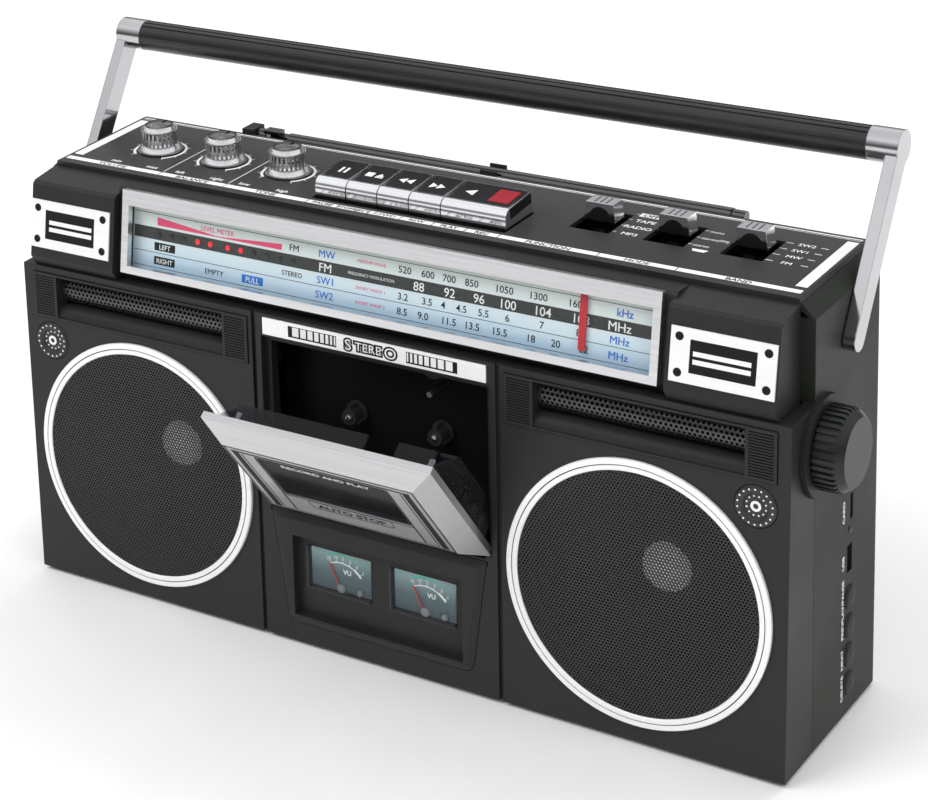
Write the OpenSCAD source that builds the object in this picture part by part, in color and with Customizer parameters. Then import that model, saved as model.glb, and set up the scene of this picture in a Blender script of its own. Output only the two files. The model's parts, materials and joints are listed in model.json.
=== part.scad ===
// Portable stereo radio and cassette player with a swing handle, in millimetres.
// Origin: middle of the footprint, on the surface that the feet stand on.
// +X to the user's right, +Y to the back, +Z up.

/* [Cabinet] */
// Width over the side walls
body_w = 370; // [320:1:460]
// Depth from the front panel's bottom edge to the back
body_d = 94; // [86:1:120]
// Height of the lower front section that holds the loudspeakers
lower_h = 151; // [149:1:185]
// Height of the dial housing and control deck above the lower section
upper_h = 43; // [40:1:52]
// Wall thickness of the moulded shells
wall = 2.5; // [2:0.1:3.5]
// How far the front panel leans back over its height
front_lean = 4.6; // [2:0.1:8]
// Distance from the front panel's bottom edge to the seam between the shells
seam_d = 26; // [25:0.5:32]
// Width of the chamfer along the top edges
top_chamfer = 5.5; // [3:0.5:8]
// Height of the rubber feet
foot_h = 2; // [1:0.5:6]

/* [Loudspeakers] */
// Distance of each loudspeaker's centre from the middle
speaker_x = 121; // [116:0.5:150]
// Height of the loudspeakers' centres
speaker_h = 65.4; // [62:0.1:80]
// Outer radius of the white trim ring
ring_r = 57.9; // [50:0.1:58]
// Radial width of the trim ring
ring_w = 5; // [3:0.1:8]
// Width of each horn insert
horn_w = 117; // [100:0.5:118]
// Height of each horn insert
horn_h = 21.4; // [16:0.2:22]
// Height of the horn inserts' lower edge
horn_sill = 126.6; // [126:0.1:128]

/* [Cassette deck] */
// Width of the cassette door
door_w = 110.4; // [108:0.1:112]
// Height of the cassette door
door_h = 72.4; // [70:0.1:74]
// Thickness of the door's silver frame
door_t = 3; // [2:0.1:4]
// Height of the door's raised face above its edge
door_rise = 6; // [1:0.5:7]
// Lean of the open door from the vertical
door_open = 38; // [25:1:40]
// Length of a cassette
tape_w = 100.4; // [100:0.1:101]
// Thickness of a cassette at its head end
tape_t = 12; // [11.5:0.1:12.5]
// Distance between the two spindles
spindle_pitch = 42.5; // [42:0.1:43]
// Forward travel of a pressed deck key, in degrees
key_travel = 9; // [5:0.5:10]
// Pitch of the deck keys
key_pitch = 15.5; // [14:0.1:16]

/* [Dial and meters] */
// Width of the silver dial bezel
dial_w = 259; // [250:0.5:262]
// Height of the dial bezel along its slope
dial_h = 37.4; // [34:0.2:38]
// Backward tilt of the dial
dial_tilt = 9.5; // [5:0.5:12]
// Thickness of the dial bezel
bezel_t = 3; // [2:0.1:4]
// Width of one level meter
meter_w = 32; // [28:0.5:34]
// Height of one level meter
meter_h = 20; // [16:0.5:22]

/* [Handle and aerial] */
// Distance from the handle's pivot to the grip's centre
handle_reach = 77.4; // [72:0.2:110]
// Backward lean of the handle
handle_lean = 33; // [0:1:50]
// Radius of the grip
grip_r = 7; // [5:0.1:9]
// Thickness of each arm, across the cabinet
arm_t = 5; // [3:0.1:7]
// Radius of the aerial's outer tube
aerial_r = 3.2; // [2.5:0.1:4]
// Length of the folded aerial
aerial_len = 232; // [160:1:240]

/* [Controls] */
// Radius of the tuning knob
tuning_r = 17.1; // [14:0.1:18]
// Radius of the rotary knobs' knurled bodies
knob_r = 8; // [6:0.1:8.5]
// Radius of the four round side buttons
button_r = 4.8; // [3.5:0.1:5.5]
// Distance between neighbouring side buttons
button_pitch = 13.1; // [12:0.1:14]

/* [Clearances] */
// Gap between separate fixed mouldings
seat_gap = 0.2; // [0.1:0.05:0.4]
// Gap around a piece that moves
move_gap = 0.4; // [0.3:0.05:0.6]
// Radial clearance of a shaft in its bearing
run_gap = 0.06; // [0.02:0.01:0.1]

/* [Hidden] */
$fn = 64;

body_h = lower_h + upper_h;
half_w = body_w / 2;
front_tilt = atan(front_lean / lower_h);

// Depth behind the front panel's bottom edge, and height above the cabinet's underside.
function fy(d) = -body_d / 2 + d;
function fz(h) = foot_h + h;
// Depth of the leaning front panel at a height.
function lean_at(h) = front_lean * h / lower_h;
// Points along an arc, for outlines.
function arc(cx, cy, r, a0, a1, n = 8) =
    [for (i = [0:n]) let (a = a0 + (a1 - a0) * i / n) [cx + r * cos(a), cy + r * sin(a)]];

// Upper section
plate_t = 2;
plate_half = half_w - top_chamfer - 0.5;
plate_top = body_h;
deck_top = body_h - plate_t;
housing_half = half_w - 6;
housing_foot = lower_h + seat_gap;
block_front = 3.1;
block_sill = lower_h + 5;
block_brow = body_h - 5.5;
block_slope = 0.175;
block_inner = dial_w / 2 + 3.5;
dial_d = front_lean - 0.1;
trim_x0 = dial_w / 2 + 5.5;
trim_w = 43.4;
trim_foot = 4.7;
trim_h = 21.8;
trim_t = 0.8;
dial_foot = lower_h + 5.3;

// Dial, in its own tilted frame
window_half = dial_w / 2 - 3.5;
window_lo = 3.4;
window_hi = dial_h - 6.8;
lens_back = bezel_t + 1;
pointer_front = lens_back + 0.9;
pointer_t = 0.9;
scale_front = pointer_front + pointer_t + 0.9;
scale_t = 1;
scale_hi = dial_h - 5;
carriage_t = 3;
dial_cavity = scale_front + scale_t + carriage_t + 1.2;
pointer_x = 94;
pointer_w = 2.2;

// Loudspeakers
hole_r = ring_r - ring_w - 1.9;
grille_t = 1;
ring_t = 1.6;
surround_r = hole_r - 7.4;
basket_d = 33;
magnet_r = 33;
coil_r = 12.3;
piezo_x = half_w - 14;
piezo_h = 115.6;
piezo_r = 8.8;
horn_rib_w = 13;
horn_depth = 14;
horn_lip = 6;
horn_grille_r = 7;
horn_mid = horn_h - 1.2 - horn_grille_r;

// Cassette door and deck
hinge_d = 6;
door_bevel = 9.2;
pane_half = 31.3;
pane_lo = 26;
pane_hi = 58.7;
hinge_h = 66.7;
hinge_back = 4;
hinge_drop = 1.3;
hinge_pin_r = 1.5;
holder_half = tape_w / 2 + 0.4 + 1.5;
deck_half = holder_half + move_gap + 0.3;
deck_open_top = 138;
door_top = hinge_h + hinge_drop + door_h;
badge_w = 108.6;
badge_h = 7.6;
badge_h0 = 141.9;
frame_half = deck_half + 8.5;
frame_back = 12;
chassis_d = 25;
chassis_t = 1.5;
chassis_half = 58;
tape_rest = 4;
spindle_h = hinge_h + tape_rest + 33.8;
capstan_x = 24;
capstan_h = 128;
capstan_r = 1.2;
flywheel_r = 22;
pulley_r = 4;
motor_x = -28;
motor_h = 98;
belt_d = 34.5;
belt_t = 1.2;

// Deck keys
key_d = 38.5;
key_len = 22;
key_top = plate_top + 8.5;
key_left = -3 * key_pitch - 0.5;
key_pivot_d = 82;
key_pivot_h = deck_top - 3;
key_shaft_r = 1.5;
// Room in front of the keys for their shoulders as they swing down.
key_slot_front = (plate_top + 6 - key_pivot_h) * sin(key_travel) + 0.5;

// Meters
meter_x = 21;
meter_mid_h = 36.4;
meter_panel_top = 62.2;
meter_panel_foot = 9.2;
meter_panel_half = 53.2;
meter_panel_half_foot = 46.5;
meter_recess_floor = 2.5;

// Controls on the top deck
knob_x = [-143.5, -108.3, -73.7];
knob_d = 58;
switch_x = [75.3, 108.3, 141.8];
switch_slot = [18, 23];
switch_slot_d = 65.5;
switch_d = 68;

// Right-hand side
tuning_d = 32.4;
tuning_h = 132.3;
collar_r = tuning_r + 3.6;
side_d = 62;
button_top_h = 52.7;

// Handle and aerial
pivot_d = 56;
pivot_h = 168;
pivot_pin_r = 3;
arm_in = half_w + 0.4;
arm_w = 10;
grip_half = 177.3;
aerial_d = body_d + aerial_r + 2;
aerial_h = body_h - 2;
aerial_x = -108;

// Battery compartment and rear services
cell_half = 98;
cell_lo = 19;
cell_hi = 89;
cell_front = 56;
inlet_x = 140;
inlet_h = 30;
screw_at = [for (x = [-160, -66, 66, 160]) [x, 12], for (x = [-66, 66]) [x, 121]];
screw_head_d = 36;

// Board under the top deck
deck_board_h = deck_top - 22;
deck_board_top = deck_board_h + 1.6;

case_black = [0.2, 0.2, 0.2];
side_black = [0.24, 0.25, 0.23];
deep_black = [0.06, 0.06, 0.06];
silver = [0.75, 0.75, 0.76];
chrome = [0.85, 0.86, 0.88];
ivory = [0.93, 0.93, 0.92];
steel = [0.55, 0.56, 0.58];
copper = [0.7, 0.42, 0.2];
board_green = [0.1, 0.35, 0.18];
smoke = [0.35, 0.35, 0.37, 0.5];
clear = [0.85, 0.9, 0.92, 0.35];
signal_red = [0.8, 0.08, 0.1];

// ---- Shared shapes ----

// A box given by its limits across, behind the front, and above the underside.
module block(x0, x1, d0, d1, h0, h1)
    translate([x0, fy(d0), fz(h0)]) cube([x1 - x0, d1 - d0, h1 - h0]);

// An outline of [depth, height] points, drawn out across the cabinet.
module across(x0, x1)
    translate([x0, fy(0), fz(0)]) rotate([90, 0, 90]) linear_extrude(x1 - x0) children();

// An [x, z] outline drawn out from one depth to another.
module deep(y0, y1)
    translate([0, y1, 0]) rotate([90, 0, 0]) linear_extrude(y1 - y0) children();

// A cylinder that runs backwards from y0 to y1.
module rod_y(r, y0, y1) translate([0, y0, 0]) rotate([-90, 0, 0]) cylinder(r = r, h = y1 - y0);

// A cylinder that runs across from x0 to x1.
module rod_x(r, x0, x1) translate([x0, 0, 0]) rotate([0, 90, 0]) cylinder(r = r, h = x1 - x0);

// A radius-and-depth outline turned about a front-to-back axis.
module turned_y() rotate([-90, 0, 0]) rotate_extrude() children();

module rounded_rect(w, h, r) {
    square([w - 2 * r, h], center = true);
    square([w, h - 2 * r], center = true);
    for (x = [-1, 1], y = [-1, 1]) translate([x * (w / 2 - r), y * (h / 2 - r)]) circle(r);
}

module both_sides() {
    children();
    mirror([1, 0, 0]) children();
}

// Places children on the leaning front panel, with y running into the cabinet.
module on_front(x, h) translate([x, fy(lean_at(h)), fz(h)]) rotate([-front_tilt, 0, 0]) children();

// Places children at the dial's lower edge, with z running up its slope.
module on_dial() translate([0, fy(dial_d), fz(dial_foot)]) rotate([-dial_tilt, 0, 0]) children();

// Places children at the door's hinge, swung to the stored angle.
module on_door() translate([0, fy(hinge_d), fz(hinge_h)]) rotate([door_open, 0, 0]) children();

// Places children on the right-hand wall, with x running outwards from it.
module on_side(d, h) translate([half_w, fy(d), fz(h)]) children();

// ---- Cabinet ----

module front_outline(inset, back)
    polygon([
        [lean_at(inset) + inset, inset], [lean_at(lower_h - inset) + inset, lower_h - inset],
        [back, lower_h - inset], [back, inset],
    ]);

module meter_outline(grow)
    polygon(concat(
        [[meter_panel_half + grow, meter_panel_top + grow]],
        [[-meter_panel_half - grow, meter_panel_top + grow]],
        arc(-meter_panel_half_foot + 5, meter_panel_foot + 5, 5 + grow, 187, 270),
        arc(meter_panel_half_foot - 5, meter_panel_foot + 5, 5 + grow, -90, -7)));

module front_cabinet() color(case_black) difference() {
    union() {
        difference() {
            across(-half_w, half_w) front_outline(0, seam_d);
            across(-half_w + wall, half_w - wall) front_outline(wall, seam_d + 1);
        }
        // Thick frame around the deck opening, which carries the door's hinge.
        across(-frame_half, frame_half)
            polygon([[lean_at(61) + 1, 61], [lean_at(146) + 1, 146], [frame_back, 146], [frame_back, 61]]);
        for (p = screw_at) translate([p[0], fy(0), fz(p[1])]) rod_y(4.5, lean_at(p[1]) + 1, seam_d);
    }
    both_sides() {
        on_front(speaker_x, speaker_h) rod_y(hole_r, -2, wall + 1);
        on_front(speaker_x, horn_sill)
            translate([-horn_w / 2 - seat_gap, -2, -seat_gap])
                cube([horn_w + 2 * seat_gap, wall + 4, horn_h + 2 * seat_gap]);
        on_front(piezo_x, piezo_h) rod_y(piezo_r + seat_gap, -2, wall + 1);
        across(frame_half - 3, frame_half - 1)
            polygon([[-1, -1], [1.5, -1], [lean_at(lower_h) + 1.5, lower_h + 1], [-1, lower_h + 1]]);
    }
    // Recess for the closed door, then the way through to the deck.
    across(-door_w / 2 - move_gap, door_w / 2 + move_gap)
        polygon([
            [-1, hinge_h - 1.9], [-1, door_top + 0.4], [lean_at(door_top) + door_t + 0.5, door_top + 0.4],
            [lean_at(hinge_h) + door_t + 0.5, hinge_h - 1.9],
        ]);
    block(-deck_half, deck_half, -1, frame_back + 1, hinge_h - 3.4, deck_open_top);
    translate([0, fy(hinge_d), fz(hinge_h)]) rod_x(hinge_pin_r + run_gap, -deck_half - 4.3, deck_half + 4.3);
    on_front(0, badge_h0) translate([-badge_w / 2 - seat_gap, -1, -seat_gap])
        cube([badge_w + 2 * seat_gap, 2, badge_h + 2 * seat_gap]);
    on_front(0, 0) deep(-2, wall + 1) meter_outline(seat_gap);
    block(-meter_panel_half - 0.5, meter_panel_half + 0.5, -1, frame_back + 1,
        meter_panel_top - 2, meter_panel_top + seat_gap);
    // The seam runs round the tuning knob's collar, which belongs to the rear shell.
    on_side(tuning_d, tuning_h) rod_x(collar_r + seat_gap, -5.4, 3);
    for (p = screw_at) translate([p[0], fy(0), fz(p[1])]) rod_y(1.55, seam_d - 12, seam_d + 1);
}

module rear_plan(inset)
    difference() {
        union() {
            translate([-half_w + inset, fy(seam_d + seat_gap) - (inset > 0 ? 1 : 0)])
                square([body_w - 2 * inset, body_d - seam_d - seat_gap - 6 + (inset > 0 ? 1 : 0)]);
            translate([-half_w + 6, fy(body_d - 6 - wall)]) square([body_w - 12, 6 + wall - inset]);
            for (s = [-1, 1]) translate([s * (half_w - 6), fy(body_d - 6)]) circle(6 - inset);
        }
    }

module rear_face(inset)
    polygon([
        [-half_w + inset, fz(inset)], [half_w - inset, fz(inset)],
        [half_w - inset, fz(deck_top - top_chamfer)],
        [half_w - top_chamfer - inset / 2, fz(deck_top - inset)],
        [-half_w + top_chamfer + inset / 2, fz(deck_top - inset)],
        [-half_w + inset, fz(deck_top - top_chamfer)],
    ]);

module rear_cabinet() color(side_black) difference() {
    union() {
        difference() {
            intersection() {
                translate([0, 0, fz(0)]) linear_extrude(deck_top) rear_plan(0);
                deep(fy(seam_d), fy(body_d) + 1) rear_face(0);
            }
            intersection() {
                translate([0, 0, fz(0)]) linear_extrude(deck_top) rear_plan(wall);
                deep(fy(seam_d) - 2, fy(body_d) + 1) rear_face(wall);
            }
        }
        both_sides() {
            // Returns behind the dial housing's ends, and bosses for the handle.
            block(half_w - 9, half_w - 1, seam_d + seat_gap, seam_d + wall,
                lower_h + 1, deck_top - top_chamfer);
            translate([0, fy(pivot_d), fz(pivot_h)]) rod_x(7, half_w - 9, half_w - 1);
        }
        for (p = screw_at)
            translate([p[0], fy(0), fz(p[1])]) rod_y(5, seam_d + seat_gap, body_d - 1);
        // Walls of the battery compartment.
        block(-cell_half - 2, cell_half + 2, cell_front - 2, body_d - 1, cell_lo - 2, cell_hi + 2);
        on_side(tuning_d, tuning_h) rod_x(collar_r, -5, 2.4);
        // Bracket for the aerial's swivel.
        block(aerial_x - 15, aerial_x - 9, body_d - 0.2, aerial_d + 4, aerial_h - 5, aerial_h + 4);
    }
    block(-cell_half, cell_half, cell_front, body_d + 1, cell_lo, cell_hi);
    block(-cell_half - 3, cell_half + 3, body_d - 2.4, body_d + 1, cell_lo - 3, cell_hi + 3);
    for (p = screw_at) translate([p[0], fy(0), fz(p[1])]) {
        rod_y(1.7, seam_d - 1, screw_head_d + 1);
        rod_y(3.6, screw_head_d, body_d + 1);
    }
    block(-half_w + 14, half_w - 14, 34, body_d - 8, deck_top - wall - 3, deck_top + 1);
    for (s = [-1, 1]) translate([0, fy(pivot_d), fz(pivot_h)])
        rod_x(pivot_pin_r + run_gap, s * (half_w - 4) - 6, s * (half_w - 4) + 6);
    on_side(tuning_d, tuning_h) rod_x(3 + run_gap, -6, 3);
    for (i = [0:3]) on_side(side_d, button_top_h - i * button_pitch) rod_x(button_r + 0.25, -5, 1);
    on_side(side_d, 70) translate([-5, -3, -6.6]) cube([6, 6, 13.2]);
    on_side(side_d + 1.5, 92.5) translate([-5, -1.4, -5.5]) cube([6, 2.8, 11]);
    on_side(side_d, 82.5) rod_x(1.5, -5, 1);
    translate([inlet_x, 0, fz(inlet_h)]) deep(fy(body_d - 4), fy(body_d + 1)) rounded_rect(24.6, 14.6, 2);
    on_aerial() rod_x(2 + run_gap, -20, 0);
}

// An open-topped saddle on the back that holds the folded tube.
module aerial_saddle() color(side_black) difference() {
    block(2, 10, body_d + 0.02, aerial_d + aerial_r + 1.6, aerial_h - aerial_r - 1.6, aerial_h + 3.4);
    block(1, 11, body_d + 1.4, aerial_d + aerial_r + 0.4, aerial_h - aerial_r - 0.4, aerial_h + 5);
}

// Places children at the aerial's elbow, with x running along the folded tube.
module on_aerial() translate([aerial_x, fy(aerial_d), fz(aerial_h)]) children();

module housing_outline(front_foot, front_brow, brow_h, sill_h)
    polygon([
        [front_foot + 3, housing_foot], [front_foot, sill_h],
        [front_brow, brow_h], [front_brow + 1.6, brow_h + 1.4],
        [seam_d, deck_top - 0.2], [seam_d, housing_foot],
    ]);

module top_housing() color(case_black) difference() {
    union() {
        both_sides() across(block_inner, housing_half)
            housing_outline(block_front, block_front + block_slope * (block_brow - block_sill),
                block_brow, block_sill);
        across(-block_inner - 1, block_inner + 1)
            housing_outline(dial_d + 3.4, dial_d + 9.4, body_h - 2.8, block_sill);
    }
    // The dial's chamber, open at the front.
    on_dial() translate([-dial_w / 2 - 0.4, -6, -0.4]) cube([dial_w + 0.8, bezel_t + 6, dial_h + 0.8]);
    on_dial() translate([-dial_w / 2 + 1.2, -5, 1]) cube([dial_w - 2.4, dial_cavity + 5, dial_h - 2]);
}

module control_plate() color(deep_black) difference() {
    deep(fy(seam_d + seat_gap), fy(body_d - 0.4))
        polygon([
            [-plate_half, fz(deck_top)], [plate_half, fz(deck_top)],
            [plate_half - 0.8, fz(plate_top)], [-plate_half + 0.8, fz(plate_top)],
        ]);
    for (x = knob_x) translate([x, fy(knob_d), fz(deck_top) - 1]) cylinder(r = 4, h = plate_t + 2);
    for (x = switch_x)
        block(x - switch_slot[0] / 2, x + switch_slot[0] / 2, switch_slot_d - switch_slot[1] / 2,
            switch_slot_d + switch_slot[1] / 2, deck_top - 1, plate_top + 1);
    block(key_left - 0.6, key_left + 6 * key_pitch + 0.6, key_d - key_slot_front, key_d + key_len + 1.4,
        deck_top - 1, plate_top + 1);
}

// ---- Dial ----

module dial_bezel() color(silver) on_dial() difference() {
    translate([-dial_w / 2, 0, 0]) cube([dial_w, bezel_t, dial_h]);
    translate([-window_half, -1, window_lo]) cube([2 * window_half, bezel_t + 2, window_hi - window_lo]);
}

module dial_lens() color(clear) on_dial() {
    translate([-window_half + 0.15, 0.5, window_lo + 0.15])
        cube([2 * window_half - 0.3, bezel_t - 0.4, window_hi - window_lo - 0.3]);
    translate([-window_half - 2, bezel_t + 0.05, window_lo - 2])
        cube([2 * window_half + 4, lens_back - bezel_t, window_hi - window_lo + 3.4]);
}

module dial_scale() color(ivory) on_dial()
    translate([-window_half - 1.8, scale_front, 1.4]) cube([2 * window_half + 3.6, scale_t, scale_hi - 1.4]);

// A blade in front of the scale, hooked over its top edge to a carriage behind it.
module dial_pointer() color(signal_red) on_dial() translate([pointer_x, 0, 0]) {
    translate([-pointer_w / 2, pointer_front, 6]) cube([pointer_w, pointer_t, scale_hi + 1.6 - 6]);
    translate([-pointer_w / 2, pointer_front, scale_hi + 0.6])
        cube([pointer_w, scale_front + scale_t + 1.4 - pointer_front, 1]);
    translate([-4, scale_front + scale_t + 0.4, scale_hi - 8]) cube([8, carriage_t - 1, 9.6]);
}

module trim_plates() color(ivory) both_sides()
    translate([0, fy(block_front), fz(block_sill)]) rotate([-atan(block_slope), 0, 0]) difference() {
        translate([trim_x0, -trim_t, trim_foot]) cube([trim_w, trim_t - 0.02, trim_h]);
        for (x = [trim_x0 + 3.6, trim_x0 + trim_w - 3.4], z = [trim_foot + 3.8, trim_foot + trim_h - 3.7])
            translate([x, 0, z]) rod_y(1.6, -2, 1);
    }

// ---- Loudspeakers ----

module speaker_rings() color(ivory) both_sides() on_front(speaker_x, speaker_h) difference() {
    rod_y(ring_r, -ring_t, -0.01);
    rod_y(ring_r - ring_w, -ring_t - 1, 1);
}

module front_grilles() color(deep_black) both_sides() {
    on_front(speaker_x, speaker_h) rod_y(ring_r - ring_w - 0.1, -grille_t, -0.01);
    // The horn's grille is a half-round sheet across the insert.
    on_front(speaker_x, horn_sill + horn_mid) intersection() {
        difference() {
            translate([0, 10, 0])
                rod_x(horn_grille_r, -horn_w / 2 + horn_rib_w + 0.1, horn_w / 2 - horn_rib_w - 0.1);
            translate([0, 10, 0]) rod_x(horn_grille_r - 0.8, -horn_w, horn_w);
        }
        translate([-horn_w / 2, 0, -20]) cube([horn_w, 9.6, 40]);
    }
}

module woofer_frames() color(steel) both_sides() on_front(speaker_x, speaker_h) difference() {
    turned_y() polygon([
        [coil_r + 1.2, basket_d], [coil_r + 1.2, basket_d + 3], [10.5, basket_d + 3 + 10],
        [10.5, basket_d + 1], [0, basket_d + 1], [0, basket_d + 17], [28, basket_d + 17],
        [28, basket_d + 13], [magnet_r, basket_d + 13],
        [magnet_r, basket_d + 3], [30, basket_d + 3], [31, basket_d], [hole_r - 2, 5], [hole_r + 5, 5],
        [hole_r + 5, wall + 0.2], [surround_r + 3, wall + 0.2], [surround_r + 3, 5], [29, basket_d],
    ]);
    for (a = [0:90:270]) rotate([0, a, 0]) translate([-9, 9, 34]) cube([18, 18, 16]);
}

module woofer_cones() color(deep_black) both_sides() on_front(speaker_x, speaker_h) {
    // Surround, cone and voice coil former.
    turned_y() polygon(concat(
        [[surround_r + 2.8, 4.2]], arc(surround_r, 4.2, 2.2, 0, -180, 8),
        [[coil_r - 0.7, 26.4], [coil_r - 0.7, 40]],
        [[coil_r, 40], [coil_r, 27.4], [surround_r - 3, 5.2], [surround_r - 1.6, 4.8]],
        arc(surround_r, 4.8, 1.6, -180, 0, 8), [[surround_r + 2.8, 4.8]]));
    // Dust cap.
    turned_y() polygon(concat(arc(0, 34, 12, -90, -27, 8), [[11, 29.4]], arc(0, 34, 11.2, -27, -90, 8)));
}

module horn_bezels() color(case_black) both_sides() on_front(speaker_x, horn_sill) {
    difference() {
        union() {
            translate([-horn_w / 2, -0.6, 0]) cube([horn_w, horn_depth, horn_h]);
        }
        translate([-horn_w / 2 + horn_rib_w, -2, horn_lip])
            cube([horn_w - 2 * horn_rib_w, horn_depth + 4, horn_h - horn_lip - 1]);
        translate([-horn_w / 2 + horn_rib_w, -2, 1]) cube([horn_w - 2 * horn_rib_w, 7, horn_lip]);
        for (s = [-1, 1], z = [1.4:1.2:horn_h - 1.6])
            translate([s * (horn_w / 2 - horn_rib_w / 2) - 5.2, -1.6, z]) cube([10.4, 1.6, 0.6]);
    }
    // Rounded lower lip of the horn.
    translate([0, 5.6, 1 + 0.01]) intersection() {
        rod_x(5.2, -horn_w / 2 + horn_rib_w, horn_w / 2 - horn_rib_w);
        translate([-horn_w, -6, 0]) cube([2 * horn_w, 5.9, 6]);
    }
}

module horn_tweeters() color(steel) both_sides()
    on_front(speaker_x, horn_sill + horn_mid) {
        turned_y() polygon([[0, 12.4], [3.4, 13], [4.4, 14.4], [8.2, 14.4], [8.2, 24], [5, 28], [0, 28]]);
    }

module piezo_tweeters() color(deep_black) both_sides() on_front(piezo_x, piezo_h)
    turned_y() polygon([
        [0, 0.2], [1.6, 0.2], [2, 0.6], [5, 0.6], [5.6, -0.5], [7.8, -0.8], [piezo_r, -0.2],
        [piezo_r, 3.2], [7, 7], [0, 7],
    ]);

// ---- Cassette deck ----

module deck_badge() color(ivory) on_front(0, badge_h0)
    translate([-badge_w / 2, -0.4, 0]) cube([badge_w, 1.35, badge_h]);

// A raised frame with mitred bevels: one profile across the door cut by one up it.
module door_frame() color(silver) on_door() translate([0, -hinge_back, hinge_drop]) difference() {
    intersection() {
        linear_extrude(door_h) polygon([
            [-door_w / 2, door_t], [-door_w / 2, 0], [-door_w / 2 + door_bevel, -door_rise],
            [door_w / 2 - door_bevel, -door_rise], [door_w / 2, 0], [door_w / 2, door_t],
        ]);
        translate([-door_w / 2, 0, 0]) rotate([90, 0, 90]) linear_extrude(door_w) polygon([
            [door_t, 0], [0, 0], [-door_rise, door_bevel], [-door_rise, door_h - door_bevel],
            [0, door_h], [door_t, door_h],
        ]);
    }
    translate([-pane_half, -door_rise - 1, pane_lo])
        cube([2 * pane_half, door_rise + door_t + 2, pane_hi - pane_lo]);
}

// A pane flush with the frame's face, on a box that reaches back to a flange.
module door_window() color(smoke) on_door() translate([0, -hinge_back, hinge_drop]) difference() {
    union() {
        translate([-pane_half + 0.15, -door_rise + 0.5, pane_lo + 0.15])
            cube([2 * pane_half - 0.3, door_rise + door_t, pane_hi - pane_lo - 0.3]);
        translate([-42.5, door_t + 0.02, 18]) cube([85, 0.9, 46]);
    }
    translate([-pane_half + 1.4, -door_rise + 2, pane_lo + 1.4])
        cube([2 * pane_half - 2.8, door_rise + door_t, pane_hi - pane_lo - 2.8]);
}

// A clear tray for the cassette, open at the top, with the hinge pins on its lower corners.
module cassette_holder() color(smoke) on_door() difference() {
    union() {
        both_sides() {
            translate([holder_half - 1.5, 0, 0]) rotate([90, 0, 90]) linear_extrude(1.5)
                polygon([
                    [-0.96, 2.6], [-0.96, 64], [3, 66], [tape_t + 2.5, 52], [tape_t + 2.5, 2],
                    [2.6, -2.6], [-0.96, -2.6],
                ]);
            translate([holder_half - 8.5, tape_t + 1, 2]) cube([7.5, 1.5, 50]);
            translate([holder_half - 8.5, -0.96, 4]) cube([7.5, 1, 56]);
            rod_x(hinge_pin_r, holder_half - 0.5, holder_half + 4.6);
        }
        translate([-holder_half + 1, -0.96, 2]) cube([2 * holder_half - 2, tape_t + 3.46, 2]);
    }
    both_sides() for (z = [14, 24, 34])
        translate([holder_half - 2, 3, z]) cube([3, 6, 4]);
}

module deck_chassis() color(steel) difference() {
    union() {
        block(-chassis_half, chassis_half, chassis_d, chassis_d + chassis_t, 64, lower_h - wall - 0.5);
        both_sides() {
            // Side plates that carry the key shaft.
            across(48.6, 50)
                polygon([
                    [chassis_d + 1, 92], [chassis_d + 1, lower_h - 4], [key_pivot_d - 6, key_pivot_h + 2.6],
                    [key_pivot_d + 4, key_pivot_h + 2.6], [key_pivot_d + 4, key_pivot_h - 5], [44, 92],
                ]);
        }
        translate([0, fy(key_pivot_d), fz(key_pivot_h)]) rod_x(key_shaft_r, -49, 49);
        // Thrust bracket behind the flywheel, and the posts that carry the motor.
        block(12, 49, belt_d + 7, belt_d + 8.5, capstan_h - 6, capstan_h + 6);
        for (p = [[-19, 0], [0, -19]])
            translate([motor_x + p[0], fy(0), fz(motor_h + p[1])]) rod_y(2.5, chassis_d + 1, belt_d + 6.4);
        translate([44, fy(0), fz(144)]) rod_y(1.5, chassis_d - 7, chassis_d + 1);
    }
    for (s = [-1, 1]) translate([s * spindle_pitch / 2, fy(0), fz(spindle_h)])
        rod_y(2 + run_gap, chassis_d - 1, chassis_d + chassis_t + 1);
    translate([capstan_x, fy(0), fz(capstan_h)]) rod_y(capstan_r + run_gap, chassis_d - 1, belt_d + 10);
    for (x = [-16, 2]) block(x - 1.5, x + 1.5, chassis_d - 1, chassis_d + 3, 132, 142);
}

module reel(x) translate([x, fy(0), fz(spindle_h)]) {
    rod_y(3.6, 17, chassis_d - 0.4);
    rod_y(5.2, chassis_d - 1.6, chassis_d - 0.4);
    for (a = [0:120:240]) rotate([0, a, 0]) translate([-0.6, 18, 3]) cube([1.2, chassis_d - 19, 1.9]);
    rod_y(2, chassis_d - 1, chassis_d + chassis_t + 1.5);
    rod_y(14, chassis_d + chassis_t + 0.6, chassis_d + chassis_t + 3);
}

module supply_reel() color(deep_black) reel(-spindle_pitch / 2);
module takeup_reel() color(deep_black) reel(spindle_pitch / 2);

module flywheel() color(steel) translate([capstan_x, fy(0), fz(capstan_h)]) {
    rod_y(capstan_r, 9.5, belt_d + 8);
    rod_y(flywheel_r, belt_d, belt_d + 5);
    rod_y(4, chassis_d + chassis_t + 0.5, belt_d + 0.5);
}

module motor_pulley() color(copper) translate([motor_x, fy(0), fz(motor_h)]) {
    rod_y(pulley_r, belt_d, belt_d + 5);
    rod_y(1, belt_d - 1, belt_d + 10);
}

module drive_motor() color(silver) translate([motor_x, fy(0), fz(motor_h)]) difference() {
    union() {
        rod_y(3, belt_d + 5.4, belt_d + 8);
        rod_y(16, belt_d + 7.4, cell_front - 2.6);
        translate([-20.2, belt_d + 6.4, -5]) cube([22, 1.2, 10]);
        translate([-5, belt_d + 6.4, -22]) cube([10, 1.2, 24]);
    }
    rod_y(1 + run_gap, belt_d + 4, belt_d + 12);
}

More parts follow.
